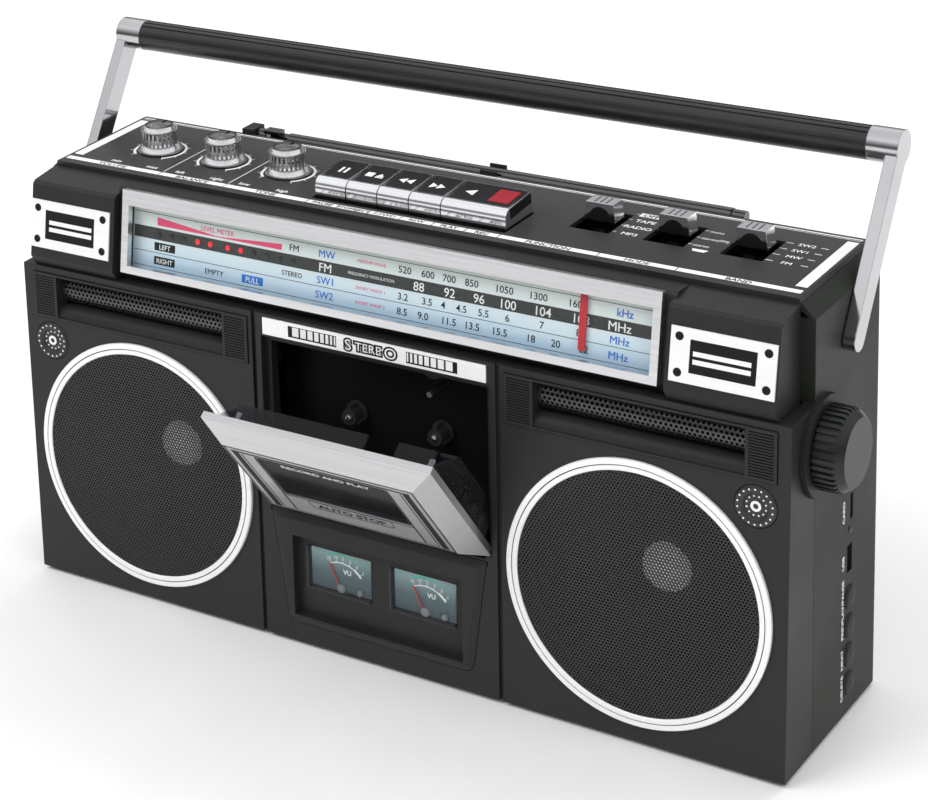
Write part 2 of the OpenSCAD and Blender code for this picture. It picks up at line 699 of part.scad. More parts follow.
// The belt's outline around both pulleys.
module belt_loop(grow) hull() {
    translate([capstan_x, fz(capstan_h)]) circle(flywheel_r + grow);
    translate([motor_x, fz(motor_h)]) circle(pulley_r + grow);
}

module drive_belt() color(deep_black) deep(fy(belt_d + 1), fy(belt_d + 4)) difference() {
    belt_loop(0.3 + belt_t);
    belt_loop(0.3);
}

// Plate with the record and play head and the erase head, which drops onto the tape.
module head_carriage() color(steel) {
    block(-29, 13, chassis_d - 1.5, chassis_d - 0.3, 131, 148);
    block(-7, 7, frame_back + 0.5, chassis_d - 1.4, 137.4, 146);
    block(-26, -16, frame_back + 0.8, chassis_d - 1.4, 137.4, 146);
    for (x = [-16, 2]) block(x - 1.1, x + 1.1, chassis_d - 0.4, chassis_d + 2.2, 137.6, 141.6);
}

// Rubber roller on its swinging arm.
module pinch_roller() color(deep_black) {
    translate([capstan_x, fy(0), fz(139.8)]) {
        rod_y(6, frame_back + 0.6, 18.2);
        rod_y(1.5, frame_back + 0.4, 20);
    }
    translate([44, fy(0), fz(144)]) difference() {
        union() {
            rod_y(3.5, chassis_d - 6.6, chassis_d - 4.6);
            translate([-20, chassis_d - 6.6, -6.4]) cube([20, 2, 4.6]);
            translate([-3.2, chassis_d - 6.6, -4]) cube([6.4, 2, 4]);
        }
        rod_y(key_shaft_r + run_gap, chassis_d - 8, chassis_d);
    }
}

// ---- Meters ----

module meter_bezel() color(case_black) on_front(0, 0) difference() {
    union() {
        deep(0, 8) meter_outline(0);
        hull() {
            deep(-0.1, 0) meter_outline(0);
            deep(-1.8, -1.7) meter_outline(-3.2);
        }
    }
    translate([-42, -4, 13.6]) cube([84, 4 + meter_recess_floor, 38]);
    translate([-60, 6, 0]) cube([120, 4, 8 + meter_panel_foot]);
    for (s = [-1, 1])
        translate([s * meter_x - meter_w / 2 - seat_gap, -1, meter_mid_h - meter_h / 2 - seat_gap])
            cube([meter_w + 2 * seat_gap, 12, meter_h + 2 * seat_gap]);
}

module meter_cases() both_sides() on_front(meter_x, meter_mid_h) {
    // Clear cover, open at the back.
    color(clear) translate([-meter_w / 2, 0.8, -meter_h / 2]) difference() {
        cube([meter_w, 3.2, meter_h]);
        translate([0.8, 0.8, 0.8]) cube([meter_w - 1.6, 3.2, meter_h - 1.6]);
    }
    // Movement, closed at the front by its printed face.
    color(ivory) difference() {
        translate([-meter_w / 2, 4, -meter_h / 2]) cube([meter_w, 11, meter_h]);
        translate([0, 0, -meter_h / 2 + 1.9]) rod_y(0.8 + run_gap, 3, 8);
    }
}

module needle(side) color(signal_red) on_front(side * meter_x, meter_mid_h - meter_h / 2 + 1.9) {
    rod_y(0.8, 3.1, 6.5);
    rotate([0, -25, 0]) translate([-0.25, 3.1, 0]) cube([0.5, 0.35, 13]);
}

module needle_left() needle(-1);
module needle_right() needle(1);

// ---- Top controls ----

// A knurled knob with a flared foot and a slanted cap, on a shaft.
module rotary_knob(x) color(chrome) translate([x, fy(knob_d), fz(plate_top)]) {
    rotate_extrude() polygon([
        [0, 0.5], [knob_r + 2.2, 0.5], [knob_r + 2.2, 1.2], [knob_r + 0.6, 3], [knob_r - 0.6, 3.4],
        [knob_r - 0.6, 9.4], [knob_r + 0.2, 9.6], [knob_r + 0.2, 10.4], [knob_r - 1.3, 12], [0, 12.6],
    ]);
    for (i = [0:23]) rotate(i * 15) translate([knob_r - 1, -0.45, 3.2]) cube([1, 0.9, 6.4]);
    translate([0, 0, -20]) cylinder(r = 3, h = 21);
}

module volume_knob() rotary_knob(knob_x[0]);
module balance_knob() rotary_knob(knob_x[1]);
module tone_knob() rotary_knob(knob_x[2]);

// A piano key with a rounded front shoulder, on an arm that swings about the key shaft.
module deck_key(slot, widths) color(chrome) {
    x0 = key_left + slot * key_pitch + 0.2;
    x1 = key_left + (slot + widths) * key_pitch - 0.2;
    arm_x = (x0 + x1) / 2;
    across(x0, x1) polygon(concat(
        [[key_d, key_pivot_h - 3]], arc(key_d + 4, key_top - 4, 4, 180, 100, 6),
        [[key_d + key_len, key_top + 1.4], [key_d + key_len, key_pivot_h - 3]]));
    difference() {
        union() {
            block(arm_x - 2, arm_x + 2, key_d + key_len - 1, key_pivot_d, key_pivot_h - 3, key_pivot_h + 1.8);
            translate([0, fy(key_pivot_d), fz(key_pivot_h)]) rod_x(2.8, arm_x - 4, arm_x + 4);
        }
        translate([0, fy(key_pivot_d), fz(key_pivot_h)]) rod_x(key_shaft_r + run_gap, arm_x - 5, arm_x + 5);
    }
}

module pause_key() deck_key(0, 1);
module stop_key() deck_key(1, 1);
module forward_key() deck_key(2, 1);
module rewind_key() deck_key(3, 1);
module play_record_key() deck_key(4, 2);

// A slide switch's tapered cap, on a stem that passes through the slot.
module switch_cap(x) color(chrome) translate([x, fy(switch_d), fz(plate_top)]) {
    deep(-4, 4) polygon([[-7.2, 0.4], [7.2, 0.4], [6.1, 8.4], [-6.1, 8.4]]);
    translate([-6.6, -3.6, -3.4]) cube([13.2, 7.2, 4.2]);
    translate([-2, -1.5, -10]) cube([4, 3, 8]);
}

module function_switch() switch_cap(switch_x[0]);
module mode_switch() switch_cap(switch_x[1]);
module band_switch() switch_cap(switch_x[2]);

// ---- Side controls ----

module tuning_knob() color(deep_black) on_side(tuning_d, tuning_h) difference() {
    union() {
        rotate([0, 90, 0]) rotate_extrude() polygon([
            [0, 3], [tuning_r, 3], [tuning_r, 11], [tuning_r - 3.2, 15], [0, 15],
        ]);
        rod_x(3, -40, 4);
        // Drum for the dial cord.
        rod_x(12, -38, -30);
    }
    for (i = [0:35]) rotate([i * 10, 0, 0]) translate([2, -0.7, tuning_r - 0.9]) cube([12, 1.4, 2]);
}

module side_button(i) color(case_black) on_side(side_d, button_top_h - i * button_pitch) {
    rotate([0, 90, 0]) rotate_extrude()
        polygon([[0, -6], [button_r, -6], [button_r, 0.4], [button_r - 0.8, 1.1], [0, 1.4]]);
    translate([-7.5, 0, 0]) rod_x(1.5, 0, 2);
}

module play_button() side_button(0);
module previous_button() side_button(1);
module next_button() side_button(2);
module delete_button() side_button(3);

// ---- Electronics ----

module control_board() {
    // Board under the top deck, with the potentiometers and slide switches.
    color(board_green) {
        difference() {
            block(-160, 160, 44, 86, deck_board_h, deck_board_top);
            block(-54, 54, 43, 87, deck_board_h - 1, deck_board_top + 1.4);
        }
        block(-160, 160, 86, 90, deck_board_h - 2, deck_board_top);
        block(half_w - 14, half_w - 12.4, side_d - 10, side_d + 16, 6, 102);
    }
    color(steel) {
        for (x = knob_x) translate([x, fy(knob_d), fz(deck_board_top)]) difference() {
            cylinder(r = 8.4, h = 7.4);
            translate([0, 0, 1]) cylinder(r = 3 + run_gap, h = 8);
        }
        for (x = switch_x) difference() {
            block(x - 8, x + 8, switch_slot_d - 12, switch_slot_d + 14, deck_board_top, deck_top - 6);
            block(x - 3, x + 3, switch_slot_d - 10.6, switch_slot_d + 12.4, deck_top - 14, deck_top - 5);
        }
        // Sockets for a memory stick and a memory card, and the four tactile switches.
        difference() {
            block(half_w - 12.4, half_w - wall - 0.2, side_d - 3.6, side_d + 3.6, 62.8, 77.2);
            block(half_w - 11, half_w, side_d - 2.6, side_d + 2.6, 63.8, 76.2);
        }
        difference() {
            block(half_w - 12.4, half_w - wall - 0.2, side_d - 0.6, side_d + 3.6, 86.4, 98.6);
            block(half_w - 11, half_w, side_d + 0.3, side_d + 2.7, 87.2, 97.8);
        }
        for (i = [0:3]) on_side(side_d, button_top_h - i * button_pitch)
            translate([-12.4, -3, -3]) cube([3.4, 6, 6]);
        on_side(side_d, 82.5) rod_x(1.3, -12.4, -0.6);
    }
}

module power_supply() {
    color(board_green) block(108, 170, 58, 59.6, 20, 74);
    color(steel) {
        block(112, 146, 59.6, 80, 42, 70);
        difference() {
            translate([inlet_x, 0, fz(inlet_h)])
                deep(fy(body_d - 34.4), fy(body_d - 0.4)) rounded_rect(24, 14, 2);
            translate([inlet_x, 0, fz(inlet_h)])
                deep(fy(body_d - 12), fy(body_d + 1)) rounded_rect(17, 8, 3.6);
        }
        for (s = [-1, 1]) translate([inlet_x + s * 4.3, 0, fz(inlet_h)])
            rod_y(1.2, fy(body_d - 13), fy(body_d - 3));
    }
}

module ferrite_rod() {
    color(deep_black) translate([0, fy(40), fz(deck_board_h - 9)]) rod_x(4.5, -165, -65);
    color(copper) translate([0, fy(40), fz(deck_board_h - 9)]) difference() {
        rod_x(6, -150, -125);
        rod_x(4.6, -151, -124);
    }
}

module case_screws() color(steel) for (p = screw_at) translate([p[0], fy(0), fz(p[1])]) difference() {
    union() {
        rod_y(3.2, screw_head_d + 0.02, screw_head_d + 2.2);
        rod_y(1.5, seam_d - 10, screw_head_d + 1);
    }
    translate([-0.5, screw_head_d + 1.2, -2.2]) cube([1, 2, 4.4]);
    translate([-2.2, screw_head_d + 1.2, -0.5]) cube([4.4, 2, 1]);
}

module rubber_feet() color(deep_black) both_sides() for (d = [14, body_d - 14])
    translate([127, fy(d), 0]) {
        cylinder(r = 7.4, h = foot_h);
    }

// ---- Handle ----

// Places children at the handle's pivot, with z running up the leaning arms.
module on_handle() translate([0, fy(pivot_d), fz(pivot_h)]) rotate([-handle_lean, 0, 0]) children();

module handle_grip() color(deep_black) on_handle() translate([0, 0, handle_reach]) difference() {
    rod_x(grip_r, -grip_half, grip_half);
    rod_x(4.2, -grip_half - 1, -grip_half + 12);
    rod_x(4.2, grip_half - 12, grip_half + 1);
    for (a = [20:20:160]) rotate([a, 0, 0])
        translate([-grip_half - 1, grip_r - 0.5, -0.35]) cube([2 * grip_half + 2, 1, 0.7]);
}

module handle_arms() color(chrome) on_handle() both_sides() {
    translate([arm_in, 0, 0]) rotate([90, 0, 90]) linear_extrude(arm_t) {
        circle(arm_w / 2);
        translate([-arm_w / 2, 0]) square([arm_w, handle_reach]);
        translate([0, handle_reach]) circle(grip_r + 0.2);
    }
    // Block that caps the grip, with a spigot inside it.
    translate([0, 0, handle_reach]) {
        rod_x(grip_r + 0.2, grip_half + 0.02, arm_in + 0.5);
        rod_x(4.1, grip_half - 11, grip_half + 1);
    }
    rod_x(pivot_pin_r, arm_in - 8.4, arm_in + 1);
}

// ---- Battery door and aerial ----

module battery_door() color(side_black) difference() {
    union() {
        block(-cell_half - 2.6, cell_half + 2.6, body_d - 2.2, body_d, cell_lo - 2.6, cell_hi + 2.6);
        for (x = [-60, 60]) block(x - 8, x + 8, body_d - 3.8, body_d - 2, cell_hi - 6, cell_hi - 0.4);
    }
    for (x = [-60, 60]) block(x - 9, x + 9, body_d - 0.8, body_d + 1, cell_hi - 12, cell_hi - 9);
}

// Barrel that turns in the bracket, with a fork for the elbow's pin.
module aerial_swivel() color(chrome) on_aerial() {
    rod_x(2, -16, -8);
    rod_x(3.4, -8.6, -4.2);
    for (s = [-1, 1]) translate([-5, -2.6, s * 2.9 - 0.8]) cube([8.2, 5.2, 1.6]);
    translate([0, 0, -3.6]) cylinder(r = 1, h = 7.2);
}

module aerial_tube() color(chrome) on_aerial() difference() {
    union() {
        translate([0, 0, -1.8]) cylinder(r = 2.6, h = 3.6);
        translate([0, -2.6, -1.8]) cube([9, 5.2, 3.6]);
        rod_x(aerial_r, 8, aerial_len - 6);
    }
    translate([0, 0, -3]) cylinder(r = 1 + run_gap, h = 6);
    rod_x(2 + run_gap, 12, aerial_len);
}

module aerial_rod() color(chrome) on_aerial() {
    rod_x(2, 14, aerial_len - 4);
    rod_x(aerial_r - 0.4, aerial_len - 5.6, aerial_len);
}

front_cabinet();
rear_cabinet();
top_housing();
control_plate();
dial_bezel();
dial_lens();
dial_scale();
trim_plates();
speaker_rings();
front_grilles();
woofer_frames();
woofer_cones();
horn_bezels();
horn_tweeters();
piezo_tweeters();
deck_badge();
meter_bezel();
meter_cases();
deck_chassis();
drive_motor();
drive_belt();
control_board();
power_supply();
ferrite_rod();
case_screws();
rubber_feet();
handle_grip();
handle_arms();
door_frame();
door_window();
cassette_holder();
volume_knob();
balance_knob();
tone_knob();
tuning_knob();
dial_pointer();
pause_key();
stop_key();
forward_key();
rewind_key();
play_record_key();
function_switch();
mode_switch();
band_switch();
play_button();
previous_button();
next_button();
delete_button();
needle_left();
needle_right();
supply_reel();
takeup_reel();
flywheel();
motor_pulley();
pinch_roller();
head_carriage();
battery_door();
aerial_saddle();
aerial_swivel();
aerial_tube();
aerial_rod();
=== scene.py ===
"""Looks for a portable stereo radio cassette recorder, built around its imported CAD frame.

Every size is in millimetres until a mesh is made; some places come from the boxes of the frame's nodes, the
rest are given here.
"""

import json
import logging
import math
from dataclasses import dataclass
from enum import Enum
from typing import Callable, Iterable, Sequence

import bpy
from mathutils import Matrix, Vector

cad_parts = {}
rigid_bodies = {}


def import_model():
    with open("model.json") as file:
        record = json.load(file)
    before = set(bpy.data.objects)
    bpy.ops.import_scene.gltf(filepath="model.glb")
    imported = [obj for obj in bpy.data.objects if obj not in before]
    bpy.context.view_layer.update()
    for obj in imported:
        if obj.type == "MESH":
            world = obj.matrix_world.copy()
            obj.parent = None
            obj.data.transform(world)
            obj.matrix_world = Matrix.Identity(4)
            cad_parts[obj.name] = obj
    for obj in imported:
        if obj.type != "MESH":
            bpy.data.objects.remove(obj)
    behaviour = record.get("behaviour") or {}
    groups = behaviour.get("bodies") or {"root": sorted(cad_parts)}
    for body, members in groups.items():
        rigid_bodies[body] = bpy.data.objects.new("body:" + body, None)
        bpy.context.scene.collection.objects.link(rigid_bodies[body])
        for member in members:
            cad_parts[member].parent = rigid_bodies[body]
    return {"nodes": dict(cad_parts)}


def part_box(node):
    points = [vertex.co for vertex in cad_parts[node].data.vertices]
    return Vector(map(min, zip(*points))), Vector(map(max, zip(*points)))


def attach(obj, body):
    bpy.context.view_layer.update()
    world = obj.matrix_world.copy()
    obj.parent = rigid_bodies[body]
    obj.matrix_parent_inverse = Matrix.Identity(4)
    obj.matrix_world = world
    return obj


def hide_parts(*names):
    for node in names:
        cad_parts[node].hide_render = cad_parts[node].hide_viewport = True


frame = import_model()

log = logging.getLogger("recorder")
MM = 0.001
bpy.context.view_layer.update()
CABINET = "cabinet"
CAPITAL = 0.73  # a capital's height as a share of the letters' size

Outline = list[tuple[float, float]]
MADE: dict[str, bpy.types.Material] = {}


class Align(Enum):
    """Which side of a word its place marks."""

    LEFT = "LEFT"
    CENTER = "CENTER"
    RIGHT = "RIGHT"


class Texture(Enum):
    """How a finish's fine relief runs."""

    GRAINED = "grained"
    BRUSHED_ACROSS = "brushed across"
    BRUSHED_ROUND = "brushed round"
    SMOOTH = "smooth"


# ---- Places ----


def low(node: str) -> Vector:
    """Lowest corner of a node's box, in millimetres."""
    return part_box(node)[0] / MM


def high(node: str) -> Vector:
    """Highest corner of a node's box, in millimetres."""
    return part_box(node)[1] / MM


def moved(x: float, y: float, z: float) -> Matrix:
    """A matrix that moves by millimetres."""
    return Matrix.Translation((x, y, z))


def turned(degrees: float, axis: str) -> Matrix:
    """A matrix that turns about one axis."""
    return Matrix.Rotation(math.radians(degrees), 4, axis)


LYING = turned(-90, "X")
FACING_RIGHT = turned(90, "Z")
FACING_BACK = turned(180, "Z")


# ---- Node groups and finishes ----


class Tree:
    """A thin hand for adding and joining nodes in one node tree."""

    def __init__(self, tree: bpy.types.NodeTree) -> None:
        """Keeps the tree that nodes are added to.

        Args:
            tree: A material's or a group's node tree.
        """
        self.tree = tree

    def add(self, kind: str, settings: dict | None = None, **values: object) -> bpy.types.Node:
        """Adds a node, sets its properties and fills or links its inputs.

        Args:
            kind: The node's type name.
            settings: Properties of the node itself.
            **values: Input names, with underscores for spaces, and a socket or a value for each.

        Returns:
            The new node.
        """
        node = self.tree.nodes.new(kind)
        for key, value in (settings or {}).items():
            setattr(node, key, value)
        for key, value in values.items():
            name = key.replace("_", " ")
            socket = node.inputs[int(key[1:])] if key[0] == "i" and key[1:].isdigit() else node.inputs[name]
            self.put(socket, value)
        return node

    def put(self, socket: bpy.types.NodeSocket, value: object) -> None:
        """Links a socket, or sets its value.

        Args:
            socket: The input to fill.
            value: An output socket, or a plain value.
        """
        if isinstance(value, bpy.types.NodeSocket):
            self.tree.links.new(value, socket)
        elif isinstance(value, (tuple, list)) and len(value) == 3 and len(socket.default_value) == 4:
            socket.default_value = (*value, 1.0)
        else:
            socket.default_value = value

    def math(self, operation: str, a: object, b: object = 0.0) -> bpy.types.NodeSocket:
        """Adds a Math node and returns its result.

        Args:
            operation: The Math node's operation.
            a: First value or socket.
            b: Second value or socket.

        Returns:
            The node's output socket.
        """
        return self.add("ShaderNodeMath", {"operation": operation}, i0=a, i1=b).outputs[0]

    def ramp(self, factor: object,
             stops: Sequence[tuple[float, tuple[float, float, float]]]) -> bpy.types.NodeSocket:
        """Adds a colour ramp and returns its colour.

        Args:
            factor: The value that runs along the ramp.
            stops: Places from 0 to 1 with their colours, in order.

        Returns:
            The ramp's colour socket.
        """
        node = self.add("ShaderNodeValToRGB", Fac=factor)
        elements = node.color_ramp.elements
        while len(elements) < len(stops):
            elements.new(0.5)
        for element, (place, colour) in zip(elements, stops):
            element.position = place
            element.color = (*colour, 1.0)
        return node.outputs["Color"]


class Groups:
    """The shared effects, each a node group that is made once."""

    made: dict[str, bpy.types.NodeTree] = {}

    @classmethod
    def start(cls, name: str, takes: dict[str, float], gives: Sequence[str]) -> tuple[Tree, bpy.types.Node,
                                                                                      bpy.types.Node]:
        """Makes an empty group with named sockets.

        Args:
            name: The group's name.
            takes: Input names with their usual values.
            gives: Output names.

        Returns:
            The group's tree, its input node and its output node.
        """
        group = bpy.data.node_groups.new(name, "ShaderNodeTree")
        for socket, value in takes.items():
            made = group.interface.new_socket(socket, in_out="INPUT", socket_type="NodeSocketFloat")
            made.default_value = value
        for socket in gives:
            group.interface.new_socket(socket, in_out="OUTPUT", socket_type="NodeSocketFloat")
        cls.made[name] = group
        tree = Tree(group)
        return tree, tree.add("NodeGroupInput"), tree.add("NodeGroupOutput")

    @classmethod
    def moulded_grain(cls) -> bpy.types.NodeTree:
        """Fine spark-eroded grain of a moulding, with slow changes of sheen.

        Returns:
            A group that takes Size in millimetres and gives Height and Sheen.
        """
        if "moulded_grain" in cls.made:
            return cls.made["moulded_grain"]
        tree, takes, gives = cls.start("moulded_grain", {"Size": 0.5}, ("Height", "Sheen"))
        place = tree.add("ShaderNodeTexCoord").outputs["Object"]
        scale = tree.math("DIVIDE", 1000.0, takes.outputs["Size"])
        fine = tree.add("ShaderNodeTexNoise", Vector=place, Scale=scale, Detail=3.0, Roughness=0.6)
        cells = tree.add("ShaderNodeTexVoronoi", Vector=place, Scale=tree.math("MULTIPLY", scale, 0.6))
        slow = tree.add("ShaderNodeTexNoise", Vector=place, Scale=18.0, Detail=4.0, Roughness=0.55)
        height = tree.math("ADD", tree.math("MULTIPLY", fine.outputs[0], 0.6),
                           tree.math("MULTIPLY", cells.outputs["Distance"], 0.4))
        tree.put(gives.inputs["Height"], height)
        tree.put(gives.inputs["Sheen"], slow.outputs[0])
        return cls.made["moulded_grain"]

    @classmethod
    def brushed_lines(cls) -> bpy.types.NodeTree:
        """Long fine scratches of brushed metal.

        Returns:
            A group that takes stretches along three axes and gives Height and Shade.
        """
        if "brushed_lines" in cls.made:
            return cls.made["brushed_lines"]
        takes_values = {"Along X": 20.0, "Along Y": 2000.0, "Along Z": 2000.0}
        tree, takes, gives = cls.start("brushed_lines", takes_values, ("Height", "Shade"))
        place = tree.add("ShaderNodeTexCoord").outputs["Object"]
        stretch = tree.add("ShaderNodeCombineXYZ", X=takes.outputs[0], Y=takes.outputs[1], Z=takes.outputs[2])
        run = tree.add("ShaderNodeVectorMath", {"operation": "MULTIPLY"}, i0=place, i1=stretch.outputs[0])
        fine = tree.add("ShaderNodeTexNoise", Vector=run.outputs[0], Scale=1.0, Detail=2.0, Roughness=0.7)
        broad = tree.add("ShaderNodeTexNoise", Vector=run.outputs[0], Scale=0.2, Detail=3.0, Roughness=0.6)
        tree.put(gives.inputs["Height"], fine.outputs[0])
        tree.put(gives.inputs["Shade"], tree.math("ADD", tree.math("MULTIPLY", fine.outputs[0], 0.5),
                                                  tree.math("MULTIPLY", broad.outputs[0], 0.5)))
        return cls.made["brushed_lines"]

    @classmethod
    def settled_dust(cls) -> bpy.types.NodeTree:
        """A thin film of dust on faces that look upwards.

        Returns:
            A group that takes Amount and gives Mask.
        """
        if "settled_dust" in cls.made:
            return cls.made["settled_dust"]
        tree, takes, gives = cls.start("settled_dust", {"Amount": 0.1}, ("Mask",))
        place = tree.add("ShaderNodeTexCoord")
        specks = tree.add("ShaderNodeTexNoise", Vector=place.outputs["Object"], Scale=900.0, Detail=4.0,
                          Roughness=0.75)
        clouds = tree.add("ShaderNodeTexNoise", Vector=place.outputs["Object"], Scale=30.0, Detail=3.0)
        up = tree.add("ShaderNodeSeparateXYZ", Vector=place.outputs["Normal"]).outputs["Z"]
        facing = tree.math("MAXIMUM", up, 0.15)
        spots = tree.add("ShaderNodeMapRange", Value=specks.outputs[0], From_Min=0.5, From_Max=0.8)
        film = tree.math("MULTIPLY", tree.math("MULTIPLY", spots.outputs[0], clouds.outputs[0]), facing)
        tree.put(gives.inputs["Mask"], tree.math("MULTIPLY", film, takes.outputs[0]))
        return cls.made["settled_dust"]


@dataclass(frozen=True)
class Finish:
    """One opaque finish.

    Attributes:
        name: The material's name.
        slot: The record's slot that the finish belongs to, or an empty string.
        colour: Base colour, linear.
        rough: Roughness.
        metal: Metallic share.
        texture: How the fine relief runs.
        size: Size of the relief in millimetres.
        relief: Strength of the relief.
        change: How much the colour changes over the surface.
        dust: Amount of settled dust.
        edge: Radius that edges are softened to, in millimetres.
        glow: Strength of its own light.
        shine: Strength of its reflections, from 0 to 1.
    """

    name: str
    slot: str
    colour: tuple[float, float, float]
    rough: float
    metal: float = 0.0
    texture: Texture = Texture.GRAINED
    size: float = 0.5
    relief: float = 0.1
    change: float = 0.15
    dust: float = 0.0
    edge: float = 0.0
    glow: float = 0.0
    shine: float = 0.5

    def material(self) -> bpy.types.Material:
        """The finish as a material, made the first time it is asked for.

        Returns:
            The material.
        """
        if self.name in MADE:
            return MADE[self.name]
        material = MADE[self.name] = bpy.data.materials.new(f"{self.name}_finish")
        material.use_nodes = True
        tree = Tree(material.node_tree)
        surface = material.node_tree.nodes["Principled BSDF"]
        height, shade = self.relief_of(tree)
        dark = tuple(c * (1 - self.change) for c in self.colour)
        light = tuple(min(1.0, c * (1 + self.change)) for c in self.colour)
        colour = tree.ramp(shade, [(0.3, dark), (0.7, light)])
        if self.dust:
            film = tree.add("ShaderNodeGroup", {"node_tree": Groups.settled_dust()}, Amount=self.dust)
            colour = tree.add("ShaderNodeMix", {"data_type": "RGBA"}, i0=film.outputs[0], i6=colour,
                              i7=(0.5, 0.49, 0.47)).outputs[2]
        tree.put(surface.inputs["Base Color"], colour)
        spread = tree.add("ShaderNodeMapRange", Value=shade, From_Min=0.3, From_Max=0.7,
                          To_Min=self.rough * 0.88, To_Max=min(1.0, self.rough * 1.12))
        tree.put(surface.inputs["Roughness"], spread.outputs[0])
        surface.inputs["Metallic"].default_value = self.metal
        surface.inputs["Specular IOR Level"].default_value = self.shine
        if self.glow:
            surface.inputs["Emission Color"].default_value = (*self.colour, 1.0)
            surface.inputs["Emission Strength"].default_value = self.glow
        bump = tree.add("ShaderNodeBump", Strength=self.relief, Distance=0.0002, Height=height)
        if self.edge:
            soft = tree.add("ShaderNodeBevel", {"samples": 4}, Radius=self.edge * MM)
            tree.put(bump.inputs["Normal"], soft.outputs[0])
        tree.put(surface.inputs["Normal"], bump.outputs[0])
        return material

    def relief_of(self, tree: Tree) -> tuple[bpy.types.NodeSocket, bpy.types.NodeSocket]:
        """Adds the relief group that suits the texture.

        Args:
            tree: The material's tree.

        Returns:
            The height socket and the shade socket.
        """
        if self.texture is Texture.BRUSHED_ACROSS:
            group = tree.add("ShaderNodeGroup", {"node_tree": Groups.brushed_lines()})
            return group.outputs["Height"], group.outputs["Shade"]
        if self.texture is Texture.BRUSHED_ROUND:
            group = tree.add("ShaderNodeGroup", {"node_tree": Groups.brushed_lines()},
                             Along_X=1500.0, Along_Y=1500.0, Along_Z=60.0)
            return group.outputs["Height"], group.outputs["Shade"]
        size = 4.0 if self.texture is Texture.SMOOTH else self.size
        group = tree.add("ShaderNodeGroup", {"node_tree": Groups.moulded_grain()}, Size=size)
        return group.outputs["Height"], group.outputs["Sheen"]


@dataclass(frozen=True)
class ClearFinish:
    """A clear or smoked plastic that lets lamps through.

    Attributes:
        name: The material's name.
        slot: The record's slot.
        tint: Colour of what is seen through it.
        body: Colour of its own surface.
        cover: How much of what is behind it the body hides.
        rough: Roughness of its gloss.
        gloss: Share of the usual reflection that it keeps.
    """

    name: str
    slot: str
    tint: tuple[float, float, float]
    body: tuple[float, float, float]
    cover: float
    rough: float = 0.04
    gloss: float = 1.0

    def material(self) -> bpy.types.Material:
        """The finish as a material, made the first time it is asked for.

        Returns:
            The material.
        """
        if self.name in MADE:
            return MADE[self.name]
        material = MADE[self.name] = bpy.data.materials.new(f"{self.name}_finish")
        material.use_nodes = True
        tree = Tree(material.node_tree)
        surface = material.node_tree.nodes["Principled BSDF"]
        group = tree.add("ShaderNodeGroup", {"node_tree": Groups.moulded_grain()}, Size=6.0)
        tree.put(surface.inputs["Base Color"], tree.ramp(group.outputs["Sheen"], [
            (0.3, tuple(c * 0.8 for c in self.body)), (0.7, self.body)]))
        tree.put(surface.inputs["Roughness"], tree.add(
            "ShaderNodeMapRange", Value=group.outputs["Sheen"], To_Min=self.rough,
            To_Max=self.rough * 2.5).outputs[0])
        clear = tree.add("ShaderNodeBsdfTransparent", Color=self.tint)
        edge = tree.add("ShaderNodeFresnel", IOR=1.45)
        faces_out = tree.math("SUBTRACT", 1.0, tree.add("ShaderNodeNewGeometry").outputs["Backfacing"])
        gloss = tree.math("MULTIPLY", tree.math("MULTIPLY", edge.outputs[0], self.gloss), faces_out)
        share = tree.math("MINIMUM", tree.math("ADD", gloss, tree.math("MULTIPLY", faces_out, self.cover)),
                          1.0)
        mix = tree.add("ShaderNodeMixShader", Fac=share, i1=clear.outputs[0], i2=surface.outputs[0])
        tree.put(material.node_tree.nodes["Material Output"].inputs["Surface"], mix.outputs[0])
        return material


@dataclass(frozen=True)
class LitCard:
    """A printed card whose colour changes from top to bottom, between two heights.

    Attributes:
        name: The material's name.
        slot: The record's slot.
        foot: Height of the lowest colour, in millimetres.
        head: Height of the highest colour.
        stops: Colours from the bottom to the top.
        glow: Strength of the light from behind it.
    """

    name: str
    slot: str
    foot: float
    head: float
    stops: tuple[tuple[float, tuple[float, float, float]], ...]
    glow: float = 0.0

    def material(self) -> bpy.types.Material:
        """The card as a material, made the first time it is asked for.

        Returns:
            The material.
        """
        if self.name in MADE:
            return MADE[self.name]
        material = MADE[self.name] = bpy.data.materials.new(f"{self.name}_finish")
        material.use_nodes = True
        tree = Tree(material.node_tree)
        surface = material.node_tree.nodes["Principled BSDF"]
        place = tree.add("ShaderNodeTexCoord").outputs["Object"]
        up = tree.add("ShaderNodeSeparateXYZ", Vector=place).outputs["Z"]
        stain = tree.add("ShaderNodeTexNoise", Vector=place, Scale=25.0, Detail=3.0)
        run = tree.add("ShaderNodeMapRange", Value=up, From_Min=self.foot * MM, From_Max=self.head * MM)
        uneven = tree.math("ADD", run.outputs[0],
                           tree.math("MULTIPLY", tree.math("SUBTRACT", stain.outputs[0], 0.5), 0.22))
        colour = tree.ramp(uneven, self.stops)
        tree.put(surface.inputs["Base Color"], colour)
        tree.put(surface.inputs["Emission Color"], colour)
        surface.inputs["Emission Strength"].default_value = self.glow
        tree.put(surface.inputs["Roughness"], tree.add(
            "ShaderNodeMapRange", Value=stain.outputs[0], To_Min=0.3, To_Max=0.45).outputs[0])
        fibre = tree.add("ShaderNodeTexNoise", Vector=place, Scale=3000.0, Detail=2.0)
        bump = tree.add("ShaderNodeBump", Strength=0.04, Distance=0.0001, Height=fibre.outputs[0])
        tree.put(surface.inputs["Normal"], bump.outputs[0])
        return material


AnyFinish = Finish | ClearFinish | LitCard

